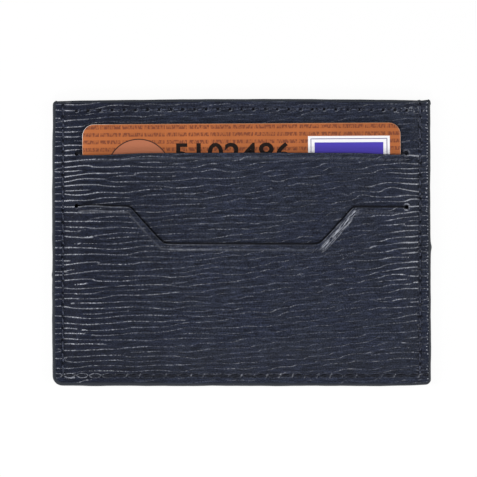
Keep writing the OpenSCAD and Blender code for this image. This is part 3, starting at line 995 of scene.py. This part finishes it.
class LeatherFinish(Finish):
    """Glazed leather: what its grain and its plan say at each point, and the noises that break up marks."""

    def __init__(self, name):
        super().__init__(name)
        self.cosine, self.sine, self.stand = self.attribute("grain")
        # The plan's third number: pale painted highlights along the slits, negative for painted shade along
        # the stepped slit's cut
        self.x, self.y, self.crease = self.attribute("plan")
        self.spot = self.place()
        self.front = self.spot.split()[2].line(0.8 * MM, 1.0 * MM)
        self.pores = self.spot.noise(3000.0, 1.0)
        self.cloud = self.spot.noise(160.0)
        self.fibres = self.spot.noise(1500.0, 2.0, 0.6)
        self.dashes = self.place((1100.0, 500.0, 500.0)).noise(1.0, 2.0, 0.6).ramp(0.34, 0.62, 0.35, 1.25)
        self.specks = self.spot.noise(1800.0, 1.0).ramp(0.38, 0.60, 0.25, 1.4)
        patches = self.place((130.0, 420.0, 420.0)).noise(1.0, 2.0, 0.6).ramp(0.36, 0.66, 0.2, 1.15)
        dashed = self.dashes.ramp(0.35, 1.25, 0.7, 1.15)
        self.broken = patches.ramp(0.2, 1.15, 0.5, 1.1) * dashed * self.specks

    def crests(self):
        """Thin painted highlight lines on the crests of the ridges, shaken a little, and wider where a ridge
        stands out.
        """
        shake = self.spot.noise(2400.0, 2.0, 0.6).line(0.25, 0.75, -0.35, 0.35)
        phase = abs(abs(self.math("ARCTAN2", self.sine, self.cosine)) + shake)
        return (phase / (self.stand * 0.75 + 0.5)).fall(0.10, 0.66)

    def ground(self):
        """Dyed leather with pores and streaks, bluer on the left, with painted shading: darker on the left,
        lighter towards the right and outside the left seam, darker above the bottom row and between the
        ridges.
        """
        x = self.x
        streaks = self.place((280.0, 2600.0, 2600.0)).noise(1.0, 1.0)
        # Painted shading by where the lights fall: darker on the left, lighter towards the right and again
        # outside the left seam
        shade = x.most(x * -9.0 - 473.0).line(-46.0, -8.0, 0.74, 1.17)
        shade = shade * self.pores.line(0.34, 0.66, 0.55, 1.45) * streaks.line(0.34, 0.66, 0.62, 1.38)
        # Painted shade above the bottom row, and painted shading along the ridges: lighter on the crests,
        # darker between them
        low = self.y.ramp(-36.2, -35.4) * self.y.fall(-32.0, -24.0)
        soft = self.cosine * x.line(-30.0, 25.0, 0.20, 0.06)
        shade = shade * (1.0 - low * 0.2) * (soft + 1.0)
        blue = self.cloud.ramp(0.4, 0.6, 0.0, 0.45).most(x.line(-44.0, -20.0, 1.0, 0.0))
        return self.mix(1.0, self.mix(blue, colours().leather, colours().bluish), shade, "MULTIPLY")

    def edge_glints(self):
        """A swaying row of small bumps beside the right edge, painted with bright glints."""
        sway = self.spot.noise(400.0).line(0.35, 0.65, -0.34, 0.34)
        row = abs(self.x + sway - GLINT_X).fall(0.10, 0.24)
        turn = (self.y + self.cloud * 3.0) * (2 * math.pi / GLINT_PITCH)
        return turn.sine().ramp(0.35, 0.95) * row * self.dashes.ramp(0.35, 1.15, 0.25, 1.3)

    def lip_highlights(self):
        """The painted highlight lines along the slits, broken into dashes, and hatched on the right of the
        notch.
        """
        slanted = self.place((1 / 500.0, 1 / 3200.0, 1.0), math.radians(48.0), vector_type="TEXTURE")
        hatch = slanted.noise(1.0, 2.0, 0.6).ramp(0.40, 0.57, 0.0, 1.8)
        hatched_or_dashed = self.mix(self.x.ramp(19.0, 20.0), self.dashes.ramp(0.35, 1.25, 0.6, 1.2), hatch)
        return self.crease * hatched_or_dashed * 0.13

    def seam_flecks(self):
        """Pale flecks along the right seam and at the right end of the hem, painted glints, and dark flecks
        along the seam, painted shade in its groove.
        """
        seam = abs(self.x - SEAM_ROW_X).fall(0.35, 1.0)
        hem = self.x.ramp(38.5, 42.0) * abs(self.y + SEAM_ROW_Y).fall(0.5, 1.5) * self.front
        pale = (seam * self.fibres.fall(0.34, 0.43, 0.28)).most(hem * self.fibres.fall(0.34, 0.45, 0.5))
        return pale, seam * self.fibres.ramp(0.53, 0.63, 0.0, 0.8)

    def punch_highlights(self):
        """Speckled rings of painted highlight round the punched holes at the right ends of the two slits."""
        end_x = size_mm("slit_half")
        rings = []
        for end_y, bright in ((upper_line(end_x), 0.25), (slit_line(end_x), 0.75)):
            away = (self.x * self.front - end_x).hypot(self.y - float(end_y))
            rings.append(abs(away - 0.85).fall(0.10, 0.30) * self.specks.ramp(0.25, 1.4, 0.1, bright))
        return rings

    def stitch_marks(self):
        """Marks of the sewn rows: the distance from the nearest hole, the holes darkened with painted shade,
        the pale loops, rings and ticks of painted highlight, and painted shade in the sides' grooves and in
        the ovals under the bottom stitches."""
        x, y, dashes = self.x, self.y, self.dashes
        rows = row_places()
        side_pitch, stitch, hem_pitch = (rows[row][0] / rows[row][1] for row in ("side", "bottom", "hem"))
        hem_end = rows["hem"][0] / 2
        side_off = abs(x) - SEAM_ROW_X
        low_off = y - SEAM_ROW_Y
        end_off = abs(y) + SEAM_ROW_Y
        top_side = y.line(-0.1, 0.1)
        side_hole = row_hole(y, side_off, SEAM_ROW_Y, side_pitch)[0]
        low_hole = row_hole(x, low_off, -SEAM_ROW_X, stitch)[0]
        hem_hole, hem_along = row_hole(x, end_off, -hem_end, hem_pitch)
        hem_hole = hem_hole + abs(x).ramp(hem_end + 0.5, hem_end + 0.6, 0.0, 5.0)
        hole_d = self.math("MINIMUM", side_hole, hem_hole * top_side + low_hole * (1.0 - top_side))
        hole = hole_d.fall(0.22, 0.42) * dashes.ramp(0.35, 0.8, 0.5, 1.0)
        hole = hole * abs(x).ramp(42.0, 47.0, 1.0, 0.6) * y.ramp(-35.4, -35.0, 0.3, 1.0)
        groove = (abs(side_off) + x.fall(-1.0, 1.0, 0.16)).fall(0.20, 0.52, 0.08)
        groove = groove * low_off.ramp(-0.3, 0.0) * self.spot.noise(420.0).ramp(0.36, 0.6, 0.25, 1.0)
        loop = abs(hem_hole - 0.55).fall(0.04, 0.16) * (hem_along - end_off).ramp(0.15, 0.5)
        loop = loop * (dashes * top_side)
        oval_d = row_hole(x, low_off * 1.9, stitch / 2 - SEAM_ROW_X, stitch)[0]
        ring = abs(oval_d - 1.12).fall(0.06, 0.30, 1.2) * x.ramp(*RING_END, 1.0, 0.12)
        tick = row_hole(x - low_off * 0.5, low_off * 0.4, -SEAM_ROW_X, stitch)[0].fall(0.1, 0.34, 1.1)
        tick = tick * x.ramp(*RING_END) * dashes.ramp(0.5, 1.2, 0.15, 1.1)
        oval = oval_d.fall(0.6, 1.2, 0.85) * dashes.ramp(0.35, 1.0, 0.3, 1.0) * x.ramp(*RING_END, 0.4, 1.0)
        return hole_d, hole, loop.most(ring.most(tick) * self.broken), groove.most(oval)


def leather_finish(name):
    """Glazed leather: dark ground with painted shading, thin painted highlight lines on the crests of the
    ridges and along the creases, fine pores, stitch holes darkened with painted shade and a row of painted
    glints on small bumps beside the right edge."""
    made = LeatherFinish(name)
    ridge = colours().ridge
    crest = made.crests()
    # Painted highlight on the crests of the ridges
    lit = (crest * (made.broken.most(made.stand * 0.85 - 0.22) * made.stand)).clamped()
    glint_bump = made.edge_glints()
    pale, seam_shade_flecks = made.seam_flecks()
    light = lit.most(made.lip_highlights(), pale, *made.punch_highlights(), glint_bump).clamped()
    hole_d, hole, loop, sunk = made.stitch_marks()
    look = made.mix(light, made.ground(), ridge)
    # Painted highlights: pale loops round the hem holes and pale rings and ticks on the bottom row
    look = made.mix(loop * 0.42, look, ridge)
    # Painted shade: stitch holes, side grooves, ovals under the bottom stitches, the stepped slit's cut and
    # dark flecks along the right seam
    look = made.mix(hole.most(sunk, made.crease.line(-1.0, 0.0, 0.9, 0.0), seam_shade_flecks), look, SHADE_BLACK)
    made.set(Base_Color=look, Roughness=lit.line(0.0, 1.0, 0.66, 0.38))
    made.set(Specular_IOR_Level=lit.line(0.0, 0.6, 0.09, 0.60))
    rim = abs(hole_d - 0.58).fall(0.0, 0.2, 0.8)
    made.bump(crest * made.stand + made.pores * 0.5 + glint_bump + (rim - hole * 2.0), 0.8, 0.12 * MM)
    return made.material


def paint_finish(name, gloss):
    """Edge paint, a little uneven, and rubbed along the left edge."""
    made = Finish(name)
    spot = made.place()
    uneven = spot.noise(900.0, 3.0, 0.55)
    left = spot.split()[0].fall(-50.0 * MM, -49.8 * MM) * spot.noise(160.0).ramp(0.38, 0.6, 0.1, 1.0)
    made.set(Base_Color=made.mix(left, colours().paint, colours().rubbed))
    made.set(Roughness=uneven.line(0.3, 0.7, 0.44, 0.60), Specular_IOR_Level=gloss)
    made.bump(uneven, 0.25, 0.08 * MM)
    return made.material


def thread_finish(name):
    """Waxed twisted thread: fine fibres, with pale flecks of painted highlight that fade on the bottom row.
    """
    made = Finish(name)
    spot = made.place()
    dull, pale = ([bright * part for part in colours().thread] for bright in (0.6, 3.9))
    above = spot.split()[1].ramp(-35.6 * MM, -35.2 * MM, 0.1, 1.0)
    # Pale flecks, painted highlights on the twisted thread, fading on the bottom row
    flecks = spot.noise(1500.0, 2.0, 0.6).ramp(0.36, 0.64) * above
    made.set(Base_Color=made.mix(flecks, dull, pale), Roughness=0.6, Specular_IOR_Level=0.12)
    made.bump(spot.noise(6000.0, 2.0, 0.6), 0.35, 0.06 * MM)
    return made.material


def lining_finish(name):
    """Close plain weave: warp and weft cross over and under at half a millimetre."""
    made = Finish(name)
    cloth = colours().lining
    x, y, _ = made.place().split()
    turn = 2 * math.pi / (0.45 * MM)
    weave = ((x * turn).sine() * (y * turn).sine()).line(-1.0, 1.0)
    made.set(Base_Color=made.mix(weave, cloth, [min(1.0, 1.9 * part) for part in cloth]))
    made.set(Roughness=0.8, Sheen_Weight=0.2)
    made.bump(weave, 0.5, 0.08 * MM)
    return made.material


def card_finish(name):
    """The card's plain print, placed by the card's own X and Y: rows of fine print, a ringed disc and a
    framed panel."""
    made = Finish(name)
    c = colours()
    spot = made.place()
    x, y, z = made.attribute("plan")
    row_y = 31.9
    row_pitch = 1.99
    word_x = -50.0
    word_pitch = 5.93
    row = ((y - row_y) / row_pitch).fraction()
    word = ((x - word_x) / word_pitch).fraction()
    in_row = row.ramp(0.40, 0.48) * row.fall(0.92, 1.0) * abs(word - 0.5).fall(0.46, 0.48)
    marks = made.place((2300.0, 900.0, 1.0)).noise(1.0, 1.0, 0.4).ramp(0.44, 0.56).line(0.0, 1.0, 0.3, 1.0)
    wash = spot.noise(90.0).line(0.3, 0.7, 0.9, 1.08)
    look = made.mix(in_row * marks, made.mix(1.0, c.card, wash, "MULTIPLY"), c.card_dark)
    disc_x, disc_y = -27.65, 19.6
    away = (x - disc_x).hypot(y - disc_y)
    look = made.mix(away.fall(8.6, 8.7), look, (0.05, 0.018, 0.012))
    look = made.mix(away.fall(8.3, 8.4), look, c.card_disc)
    panel_x, panel_y = 28.92, 21.65
    beside = abs(x - panel_x)
    soft = 0.04
    white = (0.95, 0.94, 0.96)
    grey = (0.18, 0.16, 0.30)
    frames = ((11.0, 28.65, white), (10.33, 28.02, grey), (10.11, 27.80, white), (9.24, 26.95, c.card_panel))
    for half, top, ink in frames:
        bottom = 2 * panel_y - top
        inside = beside.fall(half - soft, half + soft) * y.fall(top - soft, top + soft)
        look = made.mix(inside * y.ramp(bottom - soft, bottom + soft), look, ink)
    front = z.line(CARD_HIGH[2] - 0.06, CARD_HIGH[2] - 0.01)
    # Painted highlight: the card's rounded rim is made paler near its top left corner
    top_left_highlight = x.fall(-41.0, -30.0) * y.ramp(26.5, 29.5)
    rim = made.mix(top_left_highlight, (0.64, 0.40, 0.27), (0.95, 0.92, 0.88))
    made.set(Base_Color=made.mix(front, rim, look), Roughness=0.34, Specular_IOR_Level=0.2)
    made.set(Coat_Weight=0.06, Coat_Roughness=0.15)
    made.bump(spot.noise(1500.0), 0.04, 0.05 * MM)
    return made.material


def ink_finish(name):
    """Black printing ink, slightly glossy and a little uneven."""
    made = Finish(name)
    uneven = made.place().noise(2500.0)
    made.set(Base_Color=made.mix(uneven, (0.008, 0.006, 0.006), (0.022, 0.014, 0.012)))
    made.set(Roughness=0.5, Specular_IOR_Level=0.06)
    made.bump(uneven, 0.1, 0.04 * MM)
    return made.material


class FrontPanel(bpy.types.Operator):
    """Make the front leather with its two slits, its ridges and its sewn grooves"""

    bl_idname = "card_holder.front_panel"
    bl_label = "Front panel"

    def execute(self, context):
        leather = finish("navy_ridge_leather", leather_finish)
        finish_piece(build_front_panel(), "holder", "navy_leather", leather, "front_panel")
        return {"FINISHED"}


class BackPanel(bpy.types.Operator):
    """Make the plain back leather"""

    bl_idname = "card_holder.back_panel"
    bl_label = "Back panel"

    def execute(self, context):
        leather = finish("navy_ridge_leather", leather_finish)
        half = np.concatenate([
            np.linspace(0, SEAM_ROW_X - 1.0, 62), SEAM_ROW_X + SEAM_ROWS[1:], LEATHER_X - EDGE_ROWS[::-1][1:]
        ])
        low = np.concatenate([-LEATHER_Y + EDGE_ROWS, SEAM_ROW_Y + SEAM_ROWS])
        y_line = np.concatenate([low, np.linspace(SEAM_ROW_Y + 1.25, -SEAM_ROW_Y - 1.25, 168), -low[::-1]])
        piece = closed_sheet("back_panel_leather", mirrored_columns(half), y_line, back_panel_faces)
        finish_piece(piece, "holder", "navy_leather", leather, "back_panel")
        return {"FINISHED"}


class Linings(bpy.types.Operator):
    """Make the four cloth linings of the pockets"""

    bl_idname = "card_holder.linings"
    bl_label = "Linings"

    def execute(self, context):
        half_x = LEATHER_X - LINING_SETBACK
        half_y = LEATHER_Y - LINING_SETBACK
        x_line = np.linspace(-half_x, half_x, 121)
        y_line = np.linspace(-half_y, half_y, 61)
        cloth = finish("woven_lining", lining_finish)

        def raised(z):
            return lambda x, y: (z + LINING_T + centre_rise(x, y), z + centre_rise(x, y), None)

        def flat(z):
            return lambda x, y: (np.full_like(x, z + LINING_T), np.full_like(x, z), None)

        sheets = (
            ("front_lining", raised(BACK_STACK_Z)),
            ("upper_pocket_lining", raised(UPPER_LINING_Z)),
            ("back_lining", flat(BACK_Z)),
        )
        for node, faces in sheets:
            piece = closed_sheet(node + "_cloth", x_line, y_line, faces)
            finish_piece(piece, "holder", "pocket_lining", cloth, node)
        x_line = np.linspace(LINING_LOW[0], LINING_HIGH[0], 61)
        y_line = np.linspace(LINING_LOW[1], LINING_HIGH[1], 41)
        piece = closed_sheet("lower_pocket_lining_cloth", x_line, y_line, flat(LINING_LOW[2]), rounded=False)
        finish_piece(piece, "holder", "pocket_lining", cloth, "lower_pocket_lining")
        return {"FINISHED"}


class Stitches(bpy.types.Operator):
    """Make the sewn rows, with their needle and bobbin threads"""

    bl_idname = "card_holder.stitches"
    bl_label = "Stitches"

    def execute(self, context):
        thread = finish("waxed_thread", thread_finish)
        under = size_mm("thread_r") + BACK_SINK
        pocket_sink = 0.05
        stop_l = STOP_HIGH[0] - STOP_LOW[0] - LEG_W
        stop_count = int(stop_l / size_mm("stitch_pitch"))
        stop_start = (STOP_LOW[0] + LEG_W / 2, (STOP_LOW[1] + STOP_HIGH[1]) / 2)
        stop_z = STOP_HIGH[2] - 0.3
        rows = (
            ("seam_needle", seam_stitches(MARGIN_Z - FRONT_SINK, 1.0)),
            ("seam_bobbin", seam_stitches(under, -1.0)),
            ("front_hem_needle", hem_stitches(UPPER_FACE_Z - FRONT_SINK, 1.0)),
            ("front_hem_bobbin", hem_stitches(BACK_STACK_Z + CENTRE_ROOM - pocket_sink, -1.0)),
            ("back_hem_needle", hem_stitches(under, -1.0)),
            ("back_hem_bobbin", hem_stitches(BACK_STACK_Z + pocket_sink, 1.0)),
            ("pocket_stop", row_of_stitches(stop_start, (1, 0), stop_l, stop_count, stop_z, 1.0)),
        )
        for name, (points, faces) in rows:
            piece = mesh_object(name + "_stitches", points, faces, 80.0)
            finish_piece(piece, "holder", "sewing_thread", thread, name + "_thread")
        return {"FINISHED"}


class EdgePaint(bpy.types.Operator):
    """Make the painted edges round the holder and along the top of the centre pocket"""

    bl_idname = "card_holder.edge_paint"
    bl_label = "Edge paint"

    def execute(self, context):
        paint = finish("edge_paint_satin", paint_finish, 0.28)
        line = side_edge_line()
        x, y = line.T
        run = np.concatenate([[0.0], np.cumsum(np.hypot(*np.diff(line, axis=0).T))])
        left_lump = 0.35 * (x < -50) * bump_at(y + 8.8, 0.6)
        right_lumps = 0.5 * (x > 50) * (bump_at(y + 1.2, 0.9) + 0.8 * bump_at(y - 37.6, 0.4))
        uneven = 1 + 0.16 * wander(run, 3) + left_lump + right_lumps
        cover = 1.1 - 0.6 * x / LEATHER_X
        path = listed(x, y, 0 * x)
        profile = bead_profile(0.3, RIM_X - LEATHER_X + 0.1, 0.02, MARGIN_Z + 0.02)
        inward = leftward(line)
        paint_bead("edge_paint_sides", "edge_coat_sides", paint, path, inward, profile, uneven, cover)
        x = np.linspace(LEATHER_X - 0.1, -LEATHER_X + 0.6, 300)
        y = np.full_like(x, LEATHER_Y)
        inward = np.tile((0.0, -1.0, 0.0), (len(x), 1))
        beads = (
            ("edge_paint_front_top", "edge_coat_front_top", BACK_STACK_Z, MARGIN_Z, centre_rise(x, y)),
            ("edge_paint_back_top", "edge_coat_back_top", 0.02, BACK_STACK_Z, 0 * x),
        )
        for name, node, low, high, rise in beads:
            profile = bead_profile(0.30, RIM_Y - LEATHER_Y, low + 0.01, high - 0.01)
            paint_bead(name, node, paint, listed(x, y, rise), inward, profile, 1 + 0.10 * wander(x, 5))
        return {"FINISHED"}


class LipPaint(bpy.types.Operator):
    """Make the painted lips of the two slits"""

    bl_idname = "card_holder.lip_paint"
    bl_label = "Lip paint"

    def execute(self, context):
        paint = finish("lip_paint_dull", paint_finish, 0.03)
        end = size_mm("slit_half") - 0.4
        shoulder = size_mm("shoulder_half") + 1.18
        notch = size_mm("notch_half") - 1.02
        half = np.concatenate([np.linspace(end, shoulder + 0.3, 18), np.linspace(shoulder, notch, 50)[:-1]])
        x = np.concatenate([half, np.linspace(notch, -notch, 40), -half[::-1]])
        profile = bead_profile(0.10, 0.04, 0.02, LEATHER_T - 0.28, 8)
        upper_y = upper_line(x) - size_mm("kerf") / 2
        lower_y = slit_line(x) - low_gap(x) * slit_stretch(x)
        lips = (
            ("upper_lip_paint", "upper_lip_coat", upper_y, mouth_curl(x, upper_y)),
            ("lower_lip_paint", "lower_lip_coat", lower_y, lower_rise(x, lower_y)),
        )
        for name, node, y, rise in lips:
            z = MARGIN_Z + centre_rise(x, y) + middle_rise(x, y) + rise - LEATHER_T
            paint_bead(name, node, paint, listed(x, y, z), leftward(listed(x, y)), profile)
        return {"FINISHED"}


class SampleCard(bpy.types.Operator):
    """Make the card with its plain print and its row of digits"""

    bl_idname = "card_holder.sample_card"
    bl_label = "Sample card"

    def execute(self, context):
        half_x, half_y, thickness = (CARD_HIGH - CARD_LOW) / (2, 2, 1)
        middle_y = (CARD_HIGH[1] + CARD_LOW[1]) / 2
        rounding = 0.2
        a = np.radians(np.linspace(0, 90, 12))
        quarter = np.stack([np.cos(a), np.sin(a)], axis=-1)
        arcs = np.concatenate([quarter, quarter[::-1] * (-1, 1), -quarter, quarter[::-1] * (1, -1)])
        signs = np.array([(1, 1), (-1, 1), (-1, -1), (1, -1)])
        corners = signs * (half_x - CARD_CORNER_R, half_y - CARD_CORNER_R)
        roll = np.radians(np.array([-90, -60, -30, 0, 0, 30, 60, 90]))
        level = np.where(np.arange(8) < 4, rounding, thickness - rounding) + rounding * np.sin(roll)
        inset = rounding * (1 - np.cos(roll))
        flat_ring = np.repeat(corners, len(a), axis=0) + arcs * (CARD_CORNER_R - inset)[:, None, None]
        heights = np.broadcast_to(level[:, None], flat_ring.shape[:2])
        plan = np.stack([flat_ring[..., 0], flat_ring[..., 1], heights], axis=-1)
        rings = self.tilted(plan) + np.array([CARD_SHIFT[0], middle_y + CARD_SHIFT[1], CARD_LOW[2]])
        plan = plan + np.array([0.0, middle_y, CARD_LOW[2]])
        faces = capped_tube(*flat_ring.shape[:2])
        piece = mesh_object("sample_card_plastic", rings.reshape(-1, 3), faces, 70.0, sewn=False)
        add_attribute(piece, "plan", plan.reshape(-1, 3))
        finish_piece(piece, "card", "card_plastic", finish("card_print", card_finish), "sample_card")
        self.digits(middle_y * MM)
        return {"FINISHED"}

    def tilted(self, points):
        """The card sits a little askew in its pocket."""
        cosine = math.cos(CARD_TILT)
        sine = math.sin(CARD_TILT)
        turn = np.array([[cosine, -sine], [sine, cosine]])
        return np.concatenate([points[..., :2] @ turn.T, points[..., 2:]], axis=-1)

    def digits(self, middle_y):
        """A row of plain digits, printed as a thin film on the card's face."""
        left = -18.0 * MM
        right = 13.25 * MM
        top = 27.05 * MM
        words = bpy.data.curves.new("card_digits_outline", "FONT")
        words.body = "5102486"
        words.size = 8.2 * MM
        words.extrude = 0.012 * MM
        words.offset = 0.13 * MM
        words.space_character = 1.02
        words.resolution_u = 6
        source = bpy.data.objects.new("card_digits_outline", words)
        bpy.context.scene.collection.objects.link(source)
        bpy.context.view_layer.update()
        shape = source.evaluated_get(bpy.context.evaluated_depsgraph_get())
        mesh = bpy.data.meshes.new_from_object(shape)
        bpy.data.objects.remove(source)
        place = np.empty(3 * len(mesh.vertices))
        mesh.vertices.foreach_get("co", place)
        place = place.reshape(-1, 3)
        low = place.min(axis=0)
        high = place.max(axis=0)
        place[:, 0] = left + (place[:, 0] - low[0]) * (right - left) / (high[0] - low[0])
        place[:, 1] = top + (place[:, 1] - high[1]) - middle_y
        place[:, 2] = CARD_HIGH[2] * MM + place[:, 2] - low[2]
        place = self.tilted(place)
        place[:, 0] += CARD_SHIFT[0] * MM
        place[:, 1] += middle_y + CARD_SHIFT[1] * MM
        mesh.vertices.foreach_set("co", place.ravel())
        mesh.update()
        piece = bpy.data.objects.new("card_digits", mesh)
        bpy.context.scene.collection.objects.link(piece)
        finish_piece(piece, "card", "card_plastic", finish("card_ink", ink_finish))


def backdrop(nodes, share, plain, white, output):
    """Puts a shader on a tree's output that shows a share of white to the rays that see the backdrop:
    straight from the camera, mirrored or through glass. All other rays meet the plain one."""
    path = nodes.add("ShaderNodeLightPath", {}, "Is Camera Ray")
    kinds = path.socket.node.outputs
    seen = path.most(*(Field(nodes, kinds[kind]) for kind in ("Is Glossy Ray", "Is Transmission Ray")))
    plain = Field(nodes, plain.outputs[0])
    shown = nodes.add("ShaderNodeMixShader", {0: seen * share, 1: plain, 2: white})
    nodes.put(nodes.tree.nodes[output].inputs["Surface"], shown)


class Stage(bpy.types.Operator):
    """Make the white table, the soft lights and the camera above the holder"""

    bl_idname = "card_holder.stage"
    bl_label = "Stage"

    def execute(self, context):
        scene = context.scene
        scene.view_settings.view_transform = "Standard"
        self.table()
        self.world(scene)
        self.light("left_softbox", (-0.62, 0.0, 0.40), (0.35, 0.45), 4.2)
        self.light("right_softbox", (0.62, -0.05, 0.36), (0.30, 0.45), 2.9)
        self.light("front_softbox", (0.0, -0.66, 0.50), (0.5, 0.25), 3.5)
        camera = bpy.data.cameras.new("camera")
        camera.lens = 300.0
        camera.sensor_width = 36.0
        camera.clip_start = 0.01
        pixel = 1.0 / PX_PER_MM * MM
        middle = PICTURE_PX / 2
        away = PICTURE_PX * pixel * camera.lens / camera.sensor_width
        holder = bpy.data.objects.new("camera", camera)
        holder.location = ((middle - HOLDER_PX[0]) * pixel, (HOLDER_PX[1] - middle) * pixel, away + 1.5 * MM)
        scene.collection.objects.link(holder)
        scene.camera = holder
        return {"FINISHED"}

    def table(self):
        """A wide white table just under the holder."""
        edge = 3000.0
        z = -0.02
        points = np.array([[-edge, -edge, z], [edge, -edge, z], [edge, edge, z], [-edge, edge, z]])
        floor = mesh_object("table", points, [[0, 1, 2, 3]], sewn=False)
        made = Finish("white_table")
        made.set(Base_Color=(0.95, 0.95, 0.95), Roughness=0.9, Specular_IOR_Level=0.0)
        glow = made.add("ShaderNodeEmission", {"Strength": 1.0})
        backdrop(made, 0.93, made.surface, glow, "Material Output")
        floor.data.materials.append(made.material)

    def world(self, scene):
        """A dim even sky, and a white backdrop for the camera."""
        world = bpy.data.worlds.new("studio")
        scene.world = world
        world.use_nodes = True
        made = Nodes(world.node_tree)
        sky = made.tree.nodes["Background"]
        made.put(sky.inputs["Color"], (1.0, 1.0, 1.0))
        made.put(sky.inputs["Strength"], 0.17)
        white = made.add("ShaderNodeBackground", {"Strength": 1.0})
        backdrop(made, 1.0, sky, white, "World Output")

    def light(self, name, place, size, power):
        """A softbox that faces the middle of the holder."""
        lamp = bpy.data.lights.new(name, "AREA")
        lamp.shape = "RECTANGLE"
        lamp.size, lamp.size_y = size
        lamp.energy = power
        holder = bpy.data.objects.new(name, lamp)
        holder.location = place
        x, y, z = place
        holder.rotation_euler = (math.atan2(math.hypot(x, y), z), 0.0, math.atan2(y, x) + math.pi / 2)
        bpy.context.scene.collection.objects.link(holder)


class HolderPanel(bpy.types.Panel):
    """Lists the pieces of the card holder"""

    bl_idname = "VIEW3D_PT_card_holder"
    bl_label = "Card holder"
    bl_space_type = "VIEW_3D"
    bl_region_type = "UI"
    bl_category = "Card holder"

    def draw(self, context):
        column = self.layout.column()
        for operator in OPERATORS:
            column.operator(operator.bl_idname)
        for group in (context.scene.card_holder_sizes, context.scene.card_holder_colours):
            for key in group.__annotations__:
                column.prop(group, key)


OPERATORS = (FrontPanel, BackPanel, Linings, Stitches, EdgePaint, LipPaint, SampleCard, Stage)
CLASSES = (HolderSizes, HolderColours, *OPERATORS, HolderPanel)


def register():
    """Adds the classes and the scene's own sizes and colours."""
    for item in CLASSES:
        bpy.utils.register_class(item)
    bpy.types.Scene.card_holder_sizes = bpy.props.PointerProperty(type=HolderSizes)
    bpy.types.Scene.card_holder_colours = bpy.props.PointerProperty(type=HolderColours)


def unregister():
    """Takes them away again."""
    del bpy.types.Scene.card_holder_colours
    del bpy.types.Scene.card_holder_sizes
    for item in reversed(CLASSES):
        bpy.utils.unregister_class(item)


def main():
    """Makes the stage and every piece."""
    register()
    bpy.ops.card_holder.stage()
    bpy.ops.card_holder.front_panel()
    bpy.ops.card_holder.back_panel()
    bpy.ops.card_holder.linings()
    bpy.ops.card_holder.stitches()
    bpy.ops.card_holder.edge_paint()
    bpy.ops.card_holder.lip_paint()
    bpy.ops.card_holder.sample_card()


if __name__ == "__main__":
    main()
